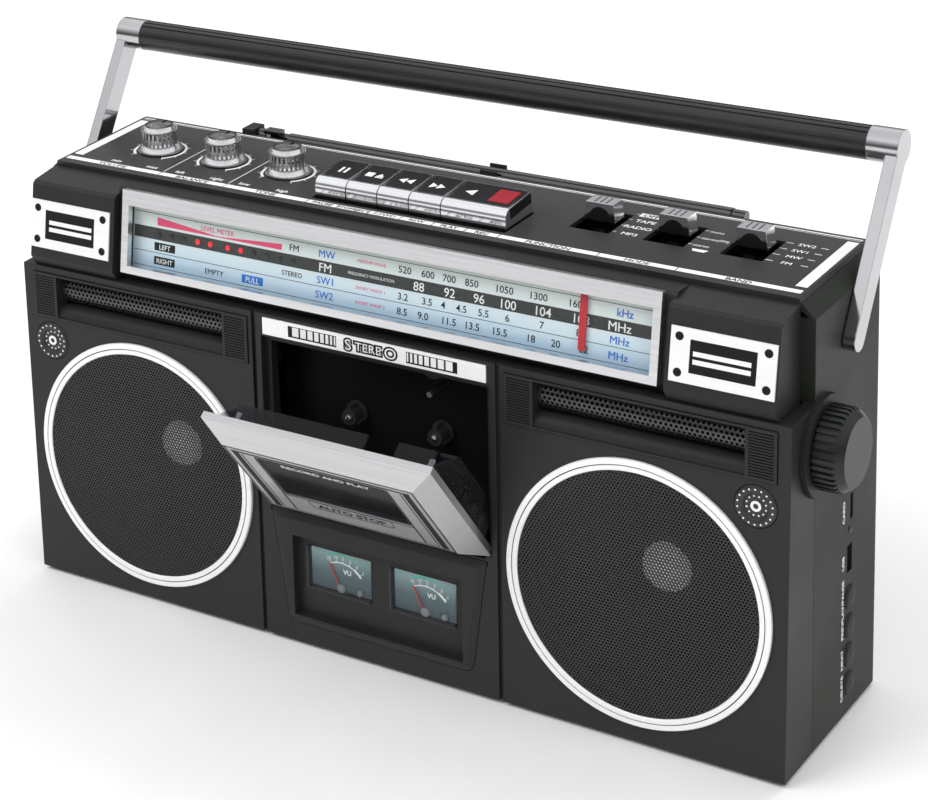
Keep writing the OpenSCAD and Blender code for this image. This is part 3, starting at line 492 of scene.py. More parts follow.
FRONT_BLACK = Finish("front_black", "case_front", (0.017, 0.017, 0.0172), 0.48, size=0.45, relief=0.16,
                     dust=0.04, edge=0.5, shine=0.3)
REAR_GREY = Finish("rear_grey", "case_rear", (0.015, 0.018, 0.0135), 0.5, size=0.5, relief=0.2, dust=0.02,
                   edge=0.6, shine=0.25)
DECK_BLACK = Finish("deck_black", "deck_black", (0.019, 0.019, 0.0195), 0.42, size=0.3, relief=0.06,
                    dust=0.08, edge=0.3)
INNER_BLACK = Finish("inner_black", "inner_black", (0.006, 0.006, 0.0065), 0.5, size=0.8, relief=0.06,
                     edge=0.2, shine=0.12)
SILVER = Finish("brushed_silver", "silver_trim", (0.83, 0.83, 0.84), 0.3, 1.0, Texture.BRUSHED_ACROSS,
                relief=0.12, change=0.12, edge=0.25)
WHITE_TRIM = Finish("white_trim", "white_trim", (0.88, 0.88, 0.875), 0.32, 0.25, Texture.BRUSHED_ACROSS,
                    relief=0.05, change=0.05, edge=0.2)
CHROME = Finish("chrome", "chrome", (0.86, 0.87, 0.89), 0.07, 1.0, Texture.SMOOTH, relief=0.03, change=0.06,
                edge=0.5)
KEY_CHROME = Finish("key_chrome", "key_chrome", (0.8, 0.81, 0.83), 0.13, 1.0, Texture.BRUSHED_ACROSS,
                    relief=0.05, change=0.1, edge=0.4)
GRILLE = Finish("grille_black", "grille_black", (0.034, 0.034, 0.035), 0.4, 0.3, size=0.6, relief=0.05)
HORN_GRILLE = Finish("horn_grille", "grille_black", (0.09, 0.09, 0.09), 0.3, 0.9, size=0.6, relief=0.05)
STEEL = Finish("zinc_steel", "steel", (0.5, 0.5, 0.51), 0.36, 1.0, Texture.BRUSHED_ACROSS, relief=0.1,
               change=0.2)
BLACK_STEEL = Finish("black_steel", "steel", (0.03, 0.03, 0.032), 0.4, 0.6, size=0.5, relief=0.08)
PAPER = Finish("cone_paper", "paper_black", (0.012, 0.012, 0.0125), 0.85, size=1.2, relief=0.3)
# Dust-cap foil with a weak glow of its own: painted light, so the caps show bright through the grille holes.
GLOWING_DOME = Finish("dome_foil_painted_glow", "silver_trim", (0.85, 0.85, 0.86), 0.35, 0.3, Texture.SMOOTH, relief=0.05,
              glow=0.25)
DOOR_SILVER = Finish("door_silver", "silver_trim", (0.6, 0.6, 0.605), 0.36, 1.0, Texture.BRUSHED_ACROSS,
                     relief=0.1, change=0.1, edge=0.3)
KNOB_METAL = Finish("knob_metal", "chrome", (0.66, 0.66, 0.665), 0.24, 1.0, Texture.BRUSHED_ROUND,
                    relief=0.08, change=0.15, edge=0.15)
ARM_CHROME = Finish("arm_chrome", "chrome", (0.5, 0.5, 0.51), 0.12, 1.0, Texture.SMOOTH, relief=0.03,
                    change=0.08, edge=0.6)
DARK_CHROME = Finish("dark_chrome", "chrome", (0.12, 0.12, 0.122), 0.2, 1.0, Texture.SMOOTH, relief=0.03,
                     change=0.1)
METER_GREY = Finish("meter_grey", "meter_face", (0.16, 0.17, 0.18), 0.3, texture=Texture.SMOOTH, relief=0.02)
RUBBER = Finish("rubber", "rubber", (0.02, 0.02, 0.02), 0.75, size=0.7, relief=0.2)
# The green board is darkened almost to black: painted shade where it shows down the switch slots.
SHADED_BOARD = Finish("circuit_board_painted_shade", "board", (0.004, 0.013, 0.006), 0.4, size=3.0, relief=0.1, change=0.3)
FERRITE = Finish("ferrite", "ferrite", (0.07, 0.07, 0.075), 0.6, size=0.8, relief=0.15)
BRASS = Finish("brass", "brass", (0.7, 0.5, 0.24), 0.25, 1.0, Texture.BRUSHED_ROUND, relief=0.06)
SIGNAL_RED = Finish("signal_red", "signal_red", (0.5, 0.015, 0.025), 0.3, texture=Texture.SMOOTH, relief=0.02,
                    change=0.08)
KEY_RED = Finish("key_red", "signal_red", (0.3, 0.002, 0.012), 0.5, size=0.4, relief=0.05, change=0.1)
GRIP_BLACK = Finish("grip_black", "grip", (0.012, 0.012, 0.0125), 0.26, 0.0, Texture.BRUSHED_ACROSS,
                    relief=0.5, change=0.5, dust=0.04)
KNOB_BLACK = Finish("knob_black", "deck_black", (0.009, 0.0105, 0.01), 0.34, size=0.4, relief=0.05, edge=0.3,
                    dust=0.02, shine=0.35)
CLEAR = ClearFinish("clear_plastic", "clear_plastic", (0.97, 0.98, 0.98), (0.85, 0.88, 0.9), 0.0, gloss=0.4)
SMOKE = ClearFinish("smoked_plastic", "smoke_plastic", (0.5, 0.5, 0.52), (0.03, 0.03, 0.032), 0.2)
TRAY_SMOKE = ClearFinish("tray_plastic", "smoke_plastic", (0.68, 0.68, 0.7), (0.07, 0.07, 0.075), 0.14)
DIAL_CARD = LitCard("dial_card", "dial_print", 161.0, 189.0, (
    (0.0, (0.42, 0.56, 0.7)), (0.3, (0.58, 0.68, 0.73)), (0.6, (0.66, 0.72, 0.71)),
    (1.0, (0.66, 0.69, 0.65))), 0.05)
METER_CARD = LitCard("meter_card", "meter_face", 28.0, 48.0, (
    (0.0, (0.03, 0.045, 0.055)), (0.5, (0.07, 0.11, 0.12)), (1.0, (0.25, 0.35, 0.35))), 0.08)

WHITE_INK = Finish("white_ink", "white_trim", (0.8, 0.8, 0.79), 0.4, texture=Texture.SMOOTH, relief=0.02,
                   change=0.06)
BLACK_INK = Finish("black_ink", "deck_black", (0.008, 0.008, 0.0085), 0.45, shine=0.2, texture=Texture.SMOOTH,
                   relief=0.02, change=0.1)
BAND_INK = Finish("band_ink", "dial_print", (0.03, 0.031, 0.029), 0.4, texture=Texture.SMOOTH, relief=0.02,
                  change=0.08)
BLUE_INK = Finish("blue_ink", "dial_print", (0.01, 0.15, 0.55), 0.4, texture=Texture.SMOOTH, relief=0.02,
                  change=0.06)
PINK_INK = Finish("pink_ink", "dial_print", (0.75, 0.06, 0.16), 0.4, texture=Texture.SMOOTH, relief=0.02,
                  change=0.06)
GREEN_INK = Finish("green_ink", "meter_face", (0.05, 0.45, 0.3), 0.4, texture=Texture.SMOOTH, relief=0.02,
                   glow=0.1)
LAMP_RED = Finish("lamp_red", "signal_red", (0.75, 0.02, 0.03), 0.3, texture=Texture.SMOOTH, relief=0.02,
                  glow=0.35)
DARK_LAMP = Finish("dark_lamp", "inner_black", (0.02, 0.018, 0.018), 0.3, texture=Texture.SMOOTH, relief=0.02)


# ---- Meshes ----


def arc(x: float, z: float, radius: float, start: float, end: float, steps: int = 8) -> Outline:
    """Points along an arc, in degrees from the x axis."""
    angles = [math.radians(start + (end - start) * i / steps) for i in range(steps + 1)]
    return [(x + radius * math.cos(a), z + radius * math.sin(a)) for a in angles]


def rectangle(x: float, z: float, width: float, height: float) -> Outline:
    """A rectangle about a centre."""
    w, h = width / 2, height / 2
    return [(x - w, z - h), (x + w, z - h), (x + w, z + h), (x - w, z + h)]


def rounded(x: float, z: float, width: float, height: float, radius: float, steps: int = 5) -> Outline:
    """A rectangle with rounded corners about a centre.

    Args:
        x: Its middle across.
        z: Its middle's height.
        width: Its whole width.
        height: Its whole height.
        radius: Radius of its corners.
        steps: Facets in a corner.

    Returns:
        The outline, anticlockwise.
    """
    w, h = width / 2 - radius, height / 2 - radius
    points: Outline = []
    for sx, sz, start in ((1, -1, -90), (1, 1, 0), (-1, 1, 90), (-1, -1, 180)):
        points += arc(x + sx * w, z + sz * h, radius, start, start + 90, steps)
    return points


class Shape:
    """Faces collected in millimetres, which become one mesh with a material for each finish."""

    def __init__(self, place: Matrix | None = None) -> None:
        """Starts an empty shape.

        Args:
            place: Where the shape's own frame lies in the row frame.
        """
        self.place = place or Matrix.Identity(4)
        self.points: list[Vector] = []
        self.faces: list[tuple[int, ...]] = []
        self.inks: list[int] = []
        self.finishes: list[AnyFinish] = []

    def mesh(self, points: Iterable[Sequence[float]], faces: Iterable[Sequence[int]], finish: AnyFinish,
             place: Matrix | None = None) -> None:
        """Adds faces.

        Args:
            points: Corners in millimetres.
            faces: Indices of corners.
            finish: The faces' finish.
            place: Where they lie in the shape's own frame.
        """
        if finish not in self.finishes:
            self.finishes.append(finish)
        ink, first = self.finishes.index(finish), len(self.points)
        whole = self.place @ place if place else self.place
        self.points += [whole @ Vector(p) for p in points]
        for face in faces:
            self.faces.append(tuple(first + i for i in face))
            self.inks.append(ink)

    def prism(self, outline: Outline, front: float, back: float, finish: AnyFinish,
              place: Matrix | None = None,
              slope: float = 0.0) -> None:
        """Adds a slab whose outline lies in x and z.

        Args:
            outline: Corners, anticlockwise as seen from the front.
            front: Depth of its front face.
            back: Depth of its back face.
            finish: Its finish.
            place: Where it lies in the shape's own frame.
            slope: How far the front outline shrinks towards its middle.
        """
        n = len(outline)
        cx, cz = sum(p[0] for p in outline) / n, sum(p[1] for p in outline) / n

        def shrunk(x: float, z: float) -> tuple[float, float]:
            """Moves a corner towards the middle by the slope.

            Args:
                x: Its place across.
                z: Its height.

            Returns:
                Its new place.
            """
            reach = math.hypot(x - cx, z - cz)
            keep = (reach - slope) / reach if slope and reach else 1.0
            return cx + (x - cx) * keep, cz + (z - cz) * keep

        face = [shrunk(x, z) for x, z in outline]
        points = [(x, front, z) for x, z in face] + [(x, back, z) for x, z in outline]
        faces = [tuple(range(n)), tuple(range(2 * n - 1, n - 1, -1))]
        faces += [(i, i + n, (i + 1) % n + n, (i + 1) % n) for i in range(n)]
        self.mesh(points, faces, finish, place)

    def band(self, outer: Outline, inner: Outline, front: float, back: float, finish: AnyFinish,
             place: Matrix | None = None) -> None:
        """Adds a closed band between two outlines that have the same number of corners.

        Args:
            outer: The outer outline.
            inner: The inner outline.
            front: Depth of its front face.
            back: Depth of its back face.
            finish: Its finish.
            place: Where it lies in the shape's own frame.
        """
        n = len(outer)
        points = [(x, y, z) for y in (front, back) for ring in (outer, inner) for x, z in ring]
        faces = []
        for i in range(n):
            j = (i + 1) % n
            faces += [(i, j, n + j, n + i), (2 * n + j, 2 * n + i, 3 * n + i, 3 * n + j),
                      (i, 2 * n + i, 2 * n + j, j), (n + j, 3 * n + j, 3 * n + i, n + i)]
        self.mesh(points, faces, finish, place)

    def lathe(self, profile: Outline, finish: AnyFinish, place: Matrix | None = None,
              steps: int = 64) -> None:
        """Adds a turned body about the y axis.

        Args:
            profile: Points of radius and depth along the outline.
            finish: Its finish.
            place: Where it lies in the shape's own frame.
            steps: Number of facets.
        """
        m = len(profile)
        points = []
        for i in range(steps):
            a = math.radians(360.0 * i / steps)
            points += [(r * math.cos(a), y, r * math.sin(a)) for r, y in profile]
        faces = []
        for i in range(steps):
            j = (i + 1) % steps
            for k in range(m - 1):
                a, b, c, d = i * m + k, i * m + k + 1, j * m + k + 1, j * m + k
                ring = [a, b, c, d]
                if profile[k][0] == 0:
                    ring = [a, b, c]
                elif profile[k + 1][0] == 0:
                    ring = [a, b, d]
                faces.append(tuple(ring))
        self.mesh(points, faces, finish, place)

    def ring_arc(self, x: float, z: float, inner: float, outer: float, start: float, end: float, front: float,
                 back: float, finish: AnyFinish, steps: int = 40) -> None:
        """Adds part of a flat ring."""
        out, into = arc(x, z, outer, start, end, steps), arc(x, z, inner, start, end, steps)
        self.prism(out + into[::-1], front, back, finish)

    def tick(self, x: float, z: float, reach: tuple[float, float], degrees: float, depth: tuple[float, float],
             half: float = 0.16) -> None:
        """Adds a short white mark that points away from a middle.

        Args:
            x: The middle's place across.
            z: The middle's height.
            reach: Distances of the mark's two ends from the middle.
            degrees: Direction of the mark.
            depth: Depths of its front and back.
            half: Half of its width.
        """
        c, s = math.cos(math.radians(degrees)), math.sin(math.radians(degrees))
        (near, far), nx, nz = reach, -s * half, c * half
        corners = [(x + near * c - nx, z + near * s - nz), (x + far * c - nx, z + far * s - nz),
                   (x + far * c + nx, z + far * s + nz), (x + near * c + nx, z + near * s + nz)]
        self.prism(corners, *depth, WHITE_INK)

    def text(self, word: str, x: float, z: float, height: float, finish: AnyFinish,
             place: Matrix | None = None,
             align: Align = Align.CENTER, front: float = -0.02, bold: float = 0.0, wide: float = 1.0) -> None:
        """Adds printed letters that face the front.

        Args:
            word: The letters.
            x: Place across.
            z: Height of the letters' middle.
            height: Height of a capital.
            finish: Their ink.
            place: Where they lie in the shape's own frame.
            align: Which side of the word its place marks.
            front: Depth of the letters' middle.
            bold: How far their outlines grow. Words with M or W are printed twice instead, side by side.
            wide: Stretch across.
        """
        curve = bpy.data.curves.new("letters", "FONT")
        curve.body, curve.align_x = word, align.value
        grows = not set(word) & set("MW")
        size = height / CAPITAL
        curve.offset = bold / size if grows else 0.0
        curve.resolution_u = 3
        made = bpy.data.objects.new("letters", curve)
        bpy.context.scene.collection.objects.link(made)
        flat = bpy.data.meshes.new_from_object(made.evaluated_get(bpy.context.evaluated_depsgraph_get()))
        for shift in ((0.0,) if grows or not bold else (-bold, bold)):
            points = [(x + shift + v.co.x * size * wide, front - shift * 0.05,
                       z - height / 2 + v.co.y * size) for v in flat.vertices]
            self.mesh(points, [tuple(p.vertices) for p in flat.polygons], finish, place)
        bpy.data.objects.remove(made)
        bpy.data.curves.remove(curve)
        bpy.data.meshes.remove(flat)

    def make(self, name: str, body: str | None, slot: str = "", smooth: float = 0.0) -> bpy.types.Object:
        """Turns the faces into an object that rides on a body.

        Args:
            name: The object's name.
            body: The body it rides on, or None for the stage.
            slot: The record's slot; not used.
            smooth: Largest angle between faces that are shaded as one, in degrees.

        Returns:
            The object.
        """
        mesh = bpy.data.meshes.new(name)
        mesh.from_pydata([p * MM for p in self.points], [], self.faces)
        for finish in self.finishes:
            mesh.materials.append(finish.material())
        mesh.polygons.foreach_set("material_index", self.inks)
        mesh.update()
        if smooth:
            mesh.shade_smooth()
            mesh.set_sharp_from_angle(angle=math.radians(smooth))
        made = bpy.data.objects.new(name, mesh)
        bpy.context.scene.collection.objects.link(made)
        if body:
            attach(made, body)
        return made


# ---- Frames of the sloping faces ----


@dataclass(frozen=True)
class Layout:
    """Main sizes and places that the sub-assemblies share, in millimetres and degrees."""

    body_w: float = 370.0
    body_d: float = 94.0
    lower_h: float = 151.0
    foot: float = 2.0
    lean: float = 4.6
    plate_z: float = 196.0
    speaker: tuple[float, float] = (121.0, 65.4)
    horn: tuple[float, float] = (121.0, 126.6)
    dial: tuple[float, float, float] = (-42.5, 158.3, 9.5)
    trim: tuple[float, float, float] = (-43.9, 158.0, 9.926)
    door: tuple[float, float, float] = (-41.0, 68.7, 38.0)

    def front(self, x: float, h: float) -> Matrix:
        """A frame on the leaning front, at a place across and a height."""
        return moved(x, -self.body_d / 2 + self.lean * h / self.lower_h, self.foot + h) @ turned(
            -math.degrees(math.atan(self.lean / self.lower_h)), "X")

    def on_dial(self) -> Matrix:
        """The dial's own frame, with z up its slope."""
        y, z, tilt = self.dial
        return moved(0, y, z) @ turned(-tilt, "X")

    def on_trim(self) -> Matrix:
        """The frame of the sloping ends beside the dial."""
        y, z, tilt = self.trim
        return moved(0, y, z) @ turned(-tilt, "X")

    def on_door(self) -> Matrix:
        """The frame of the door's outer face at rest, with z up its slope."""
        y, z, tilt = self.door
        return moved(0, y, z) @ turned(tilt, "X") @ moved(0, -4.0, 1.3)

    def on_plate(self) -> Matrix:
        """The top plate's frame: x across, z towards the back from the front's foot, y down."""
        return moved(0, -self.body_d / 2, self.plate_z) @ LYING

    def on_side(self, d: float = 0.0, h: float = 0.0) -> Matrix:
        """A frame on the right-hand wall, read from outside: x to the back, z up, y inwards."""
        return moved(self.body_w / 2, -self.body_d / 2 + d, self.foot + h) @ FACING_RIGHT

    def on_back(self) -> Matrix:
        """A frame on the back wall, read from behind: x to the cabinet's left, z up, y inwards."""
        return moved(0, self.body_d / 2, self.foot) @ FACING_BACK


LAYOUT = Layout()
BOTH = (-1, 1)


def repeat_sheet(cells: Iterable[tuple[float, float]], pitch: float, hole: float,
                 bend: Callable[[float, float, float], tuple[float, float, float]],
                 thick: float, finish: AnyFinish, shape: Shape) -> None:
    """Adds a sheet of six-sided cells, each with a hole through it.

    Args:
        cells: Centres of the cells, in x and z.
        pitch: Distance between neighbouring holes.
        hole: Radius of a hole.
        bend: Turns x, z and depth within the sheet into a place.
        thick: Thickness of the sheet.
        finish: Its finish.
        shape: The shape that gets the sheet.
    """
    outer = [(pitch / math.sqrt(3) * math.cos(math.radians(30 + 60 * k)), pitch / math.sqrt(3) * math.sin(
        math.radians(30 + 60 * k))) for k in range(6)]
    inner = [(hole * math.cos(math.radians(30 + 60 * k)),
              hole * math.sin(math.radians(30 + 60 * k))) for k in range(6)]
    points, faces = [], []
    for x, z in cells:
        first = len(points)
        points += [bend(x + a, z + b, 0.0) for a, b in outer]
        points += [bend(x + a, z + b, 0.0) for a, b in inner]
        points += [bend(x + a, z + b, thick) for a, b in inner]
        for k in range(6):
            j = (k + 1) % 6
            faces.append((first + k, first + j, first + 6 + j, first + 6 + k))
            faces.append((first + 6 + k, first + 6 + j, first + 12 + j, first + 12 + k))
    shape.mesh(points, faces, finish)


def lattice(half_w: float, half_h: float, pitch: float,
            keep: Callable[[float, float], bool]) -> list[tuple[float, float]]:
    """Centres of a triangular lattice that a test keeps.

    Args:
        half_w: Half of the area's width.
        half_h: Half of its height.
        pitch: Distance between neighbours.
        keep: Says whether a centre is kept.

    Returns:
        The centres.
    """
    row_step = pitch * math.sqrt(3) / 2
    found = []
    for row in range(-int(half_h / row_step), int(half_h / row_step) + 1):
        shift = pitch / 2 if row % 2 else 0.0
        for column in range(-int(half_w / pitch) - 1, int(half_w / pitch) + 1):
            x, z = column * pitch + shift, row * row_step
            if keep(x, z):
                found.append((x, z))
    return found


# ---- Sub-assemblies ----


@dataclass
class Shells:
    """Mouldings, plates and inner parts that keep their own shapes and take finishes."""

    weld: float = 0.002

    def finishes(self) -> dict[str, AnyFinish]:
        """The finish of every node that keeps its shape.

        Returns:
            Node names with their finishes.
        """
        return {
            "front_cabinet": FRONT_BLACK, "rear_cabinet": REAR_GREY, "aerial_saddle": REAR_GREY,
            "top_housing": FRONT_BLACK, "control_plate": DECK_BLACK, "dial_bezel": SILVER, "dial_lens": CLEAR,
            "dial_scale": DIAL_CARD, "trim_plates": WHITE_TRIM, "woofer_frames": BLACK_STEEL,
            "woofer_cones": PAPER,
            "horn_bezels": FRONT_BLACK, "horn_tweeters": BLACK_STEEL, "piezo_tweeters": DECK_BLACK,
            "deck_badge": WHITE_TRIM, "meter_bezel": FRONT_BLACK, "deck_chassis": INNER_BLACK,
            "drive_motor": STEEL,
            "drive_belt": RUBBER, "control_board": SHADED_BOARD, "power_supply": SHADED_BOARD, "ferrite_rod": FERRITE,
            "case_screws": STEEL, "rubber_feet": RUBBER, "handle_grip": GRIP_BLACK, "handle_arms": ARM_CHROME,
            "door_frame": DOOR_SILVER, "door_window": SMOKE, "cassette_holder": TRAY_SMOKE,
            "volume_knob": KNOB_METAL,
            "balance_knob": KNOB_METAL, "tone_knob": KNOB_METAL, "tuning_knob": KNOB_BLACK,
            "dial_pointer": SIGNAL_RED,
            "pause_key": KEY_CHROME, "stop_key": KEY_CHROME, "forward_key": KEY_CHROME,
            "rewind_key": KEY_CHROME,
            "play_record_key": KEY_CHROME, "function_switch": KEY_CHROME, "mode_switch": KEY_CHROME,
            "band_switch": KEY_CHROME, "play_button": REAR_GREY, "previous_button": REAR_GREY,
            "next_button": REAR_GREY, "delete_button": REAR_GREY, "needle_left": SIGNAL_RED,
            "needle_right": SIGNAL_RED, "supply_reel": DECK_BLACK, "takeup_reel": DECK_BLACK,
            "flywheel": STEEL,
            "motor_pulley": BRASS, "pinch_roller": RUBBER, "head_carriage": STEEL, "battery_door": REAR_GREY,
            "aerial_swivel": DARK_CHROME, "aerial_tube": DARK_CHROME, "aerial_rod": DARK_CHROME,
        }

    def dress(self) -> None:
        """Gives each node its finish and joins corners that lie together."""
        for name, finish in self.finishes().items():
            node = frame["nodes"][name]
            node.data.materials.clear()
            node.data.materials.append(finish.material())
            node.data.polygons.foreach_set("material_index", [0] * len(node.data.polygons))
            weld = node.modifiers.new("weld", "WELD")
            weld.merge_threshold = self.weld * MM


@dataclass
class Speakers:
    """Rings, perforated grilles and domes of the two loudspeakers; the domes carry a painted glow."""

    ring_r: float = 57.9
    groove: tuple[float, float] = (55.5, 55.05)
    inner_r: float = 52.9
    proud: float = 1.6
    pitch: float = 1.5
    hole: float = 0.58
    sheet: float = 0.5
    cap_r: float = 10.8
    cap_depth: float = 22.0
    grille_r: float = 53.6
    edge: tuple[float, float] = (54.6, 52.3)
    grille_y: tuple[float, float] = (-0.98, -0.42)

    def build(self) -> None:
        """Builds both rings, both grilles and what shows through them."""
        for side, name in zip(BOTH, ("left", "right")):
            place = LAYOUT.front(side * LAYOUT.speaker[0], LAYOUT.speaker[1])
            ring = Shape(place)
            r, p = self.ring_r, self.proud
            ring.lathe([(r, -0.02), (r, -p + 0.35), (r - 0.35, -p), (self.groove[0], -p),
                        (self.groove[0], -p + 0.5)],
                       WHITE_TRIM, steps=160)
            ring.lathe([(self.groove[0], -p + 0.5), (self.groove[1], -p + 0.5)], BLACK_INK, steps=160)
            ring.lathe([(self.groove[1], -p + 0.5), (self.groove[1], -p), (self.inner_r + 0.3, -p),
                        (self.inner_r, -p + 0.3), (self.inner_r, -0.02), (r, -0.02)], WHITE_TRIM, steps=160)
            made = ring.make(f"speaker_ring_{name}", CABINET, "white_trim", smooth=30)
            if side < 0:
                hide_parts("speaker_rings")
            grille = Shape(place)
            grid = lattice(self.edge[0], self.edge[0], self.pitch, lambda x,
                           z: math.hypot(x, z) < self.grille_r)
            repeat_sheet(grid, self.pitch, self.hole, lambda x, z, y: (x, y + self.grille_y[0], z),
                         self.sheet, GRILLE, grille)
            (near, far), (out, into) = self.grille_y, self.edge
            grille.lathe([(out, far), (out, near), (into, near), (into, far)], GRILLE, steps=120)
            made = grille.make(f"speaker_grille_{name}", CABINET, "grille_black")
            if side < 0:
                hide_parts("front_grilles")
            inside = Shape(place)
            c, d = self.cap_r, self.cap_depth
            # The dust cap and the ring round it take the painted glow of their finish.
            inside.lathe([(0, d)] + [(c * math.sin(math.radians(t)), d + 6 - 6 * math.cos(math.radians(t)))
                                     for t in range(10, 91, 10)], GLOWING_DOME, steps=48)
            inside.lathe([(c + 1.2, d + 5.2), (c + 1.6, d + 4.4), (c + 2.6, d + 4.4), (c + 3, d + 5.2)], GLOWING_DOME,
                         steps=48)
            inside.make(f"speaker_dome_{name}", CABINET, "silver_trim", smooth=40)


@dataclass
class Horns:
    """Curved, perforated grilles of the horn tweeters, and the round piezo tweeters' fronts."""

    half: float = 45.4
    radius: float = 7.0
    axis: float = 10.0
    rise: float = 13.2
    pitch: float = 2.2
    hole: float = 0.74
    thick: float = 0.6
    rim: float = 1.5
    piezo: tuple[float, float] = (171.0, 115.6)
    end_faces: tuple[tuple[int, ...], ...] = (
        (0, 1, 2, 3), (4, 7, 6, 5), (0, 4, 5, 1), (3, 2, 6, 7), (0, 3, 7, 4), (1, 5, 6, 2))

    def build(self) -> None:
        """Builds both horn grilles and both piezo fronts."""
        sweep = math.pi * self.radius
        for side, name in zip(BOTH, ("left", "right")):
            sheet = Shape(LAYOUT.front(side * LAYOUT.horn[0], LAYOUT.horn[1] + self.rise))
            grid = lattice(self.half, sweep / 2, self.pitch, lambda x,
                           z: abs(x) < self.half - 1.3 and abs(z) < sweep / 2 - 1.2)
            repeat_sheet(grid, self.pitch, self.hole, self.curl, self.thick, HORN_GRILLE, sheet)
            for x in (-self.half, self.half - self.rim):
                for a0, a1 in zip(range(-86, 84, 10), range(-76, 94, 10)):
                    corners = [self.curl(u, math.radians(t) * self.radius, y) for y in (0.0, self.thick)
                               for u, t in ((x, a0), (x + self.rim, a0), (x + self.rim, a1), (x, a1))]
                    sheet.mesh(corners, self.end_faces, HORN_GRILLE)
            sheet.make(f"horn_grille_{name}", CABINET, "grille_black", smooth=30)
            front = Shape(LAYOUT.front(side * self.piezo[0], self.piezo[1]))
            self.dots(front, 18, 7.3, 0.62, -0.76)
            self.dots(front, 12, 4.1, 0.6, 0.52)
            front.lathe([(2.2, 0.3), (2.2, 0.02), (1.1, 0.02), (1.1, 0.3)], WHITE_INK, steps=32)
            front.make(f"piezo_front_{name}", CABINET, "white_trim")

    def curl(self, x: float, z: float, y: float) -> tuple[float, float, float]:
        """Bends a flat place on to the half-round sheet."""
        a, r = z / self.radius, self.radius - y
        return x, self.axis - r * math.cos(a), r * math.sin(a)

    def dots(self, shape: Shape, count: int, radius: float, size: float, front: float) -> None:
        """Adds a circle of small printed dots.

        Args:
            shape: The shape that gets them.
            count: How many dots.
            radius: Radius of the circle.
            size: A dot's width.
            front: Depth of the surface that they stand on.
        """
        for i in range(count):
            a = 2 * math.pi * (i + 0.5) / count
            shape.prism(arc(radius * math.cos(a), radius * math.sin(a), size / 2 + 0.08, 0, 330, 11),
                        front - 0.03, front + 0.3, WHITE_INK)


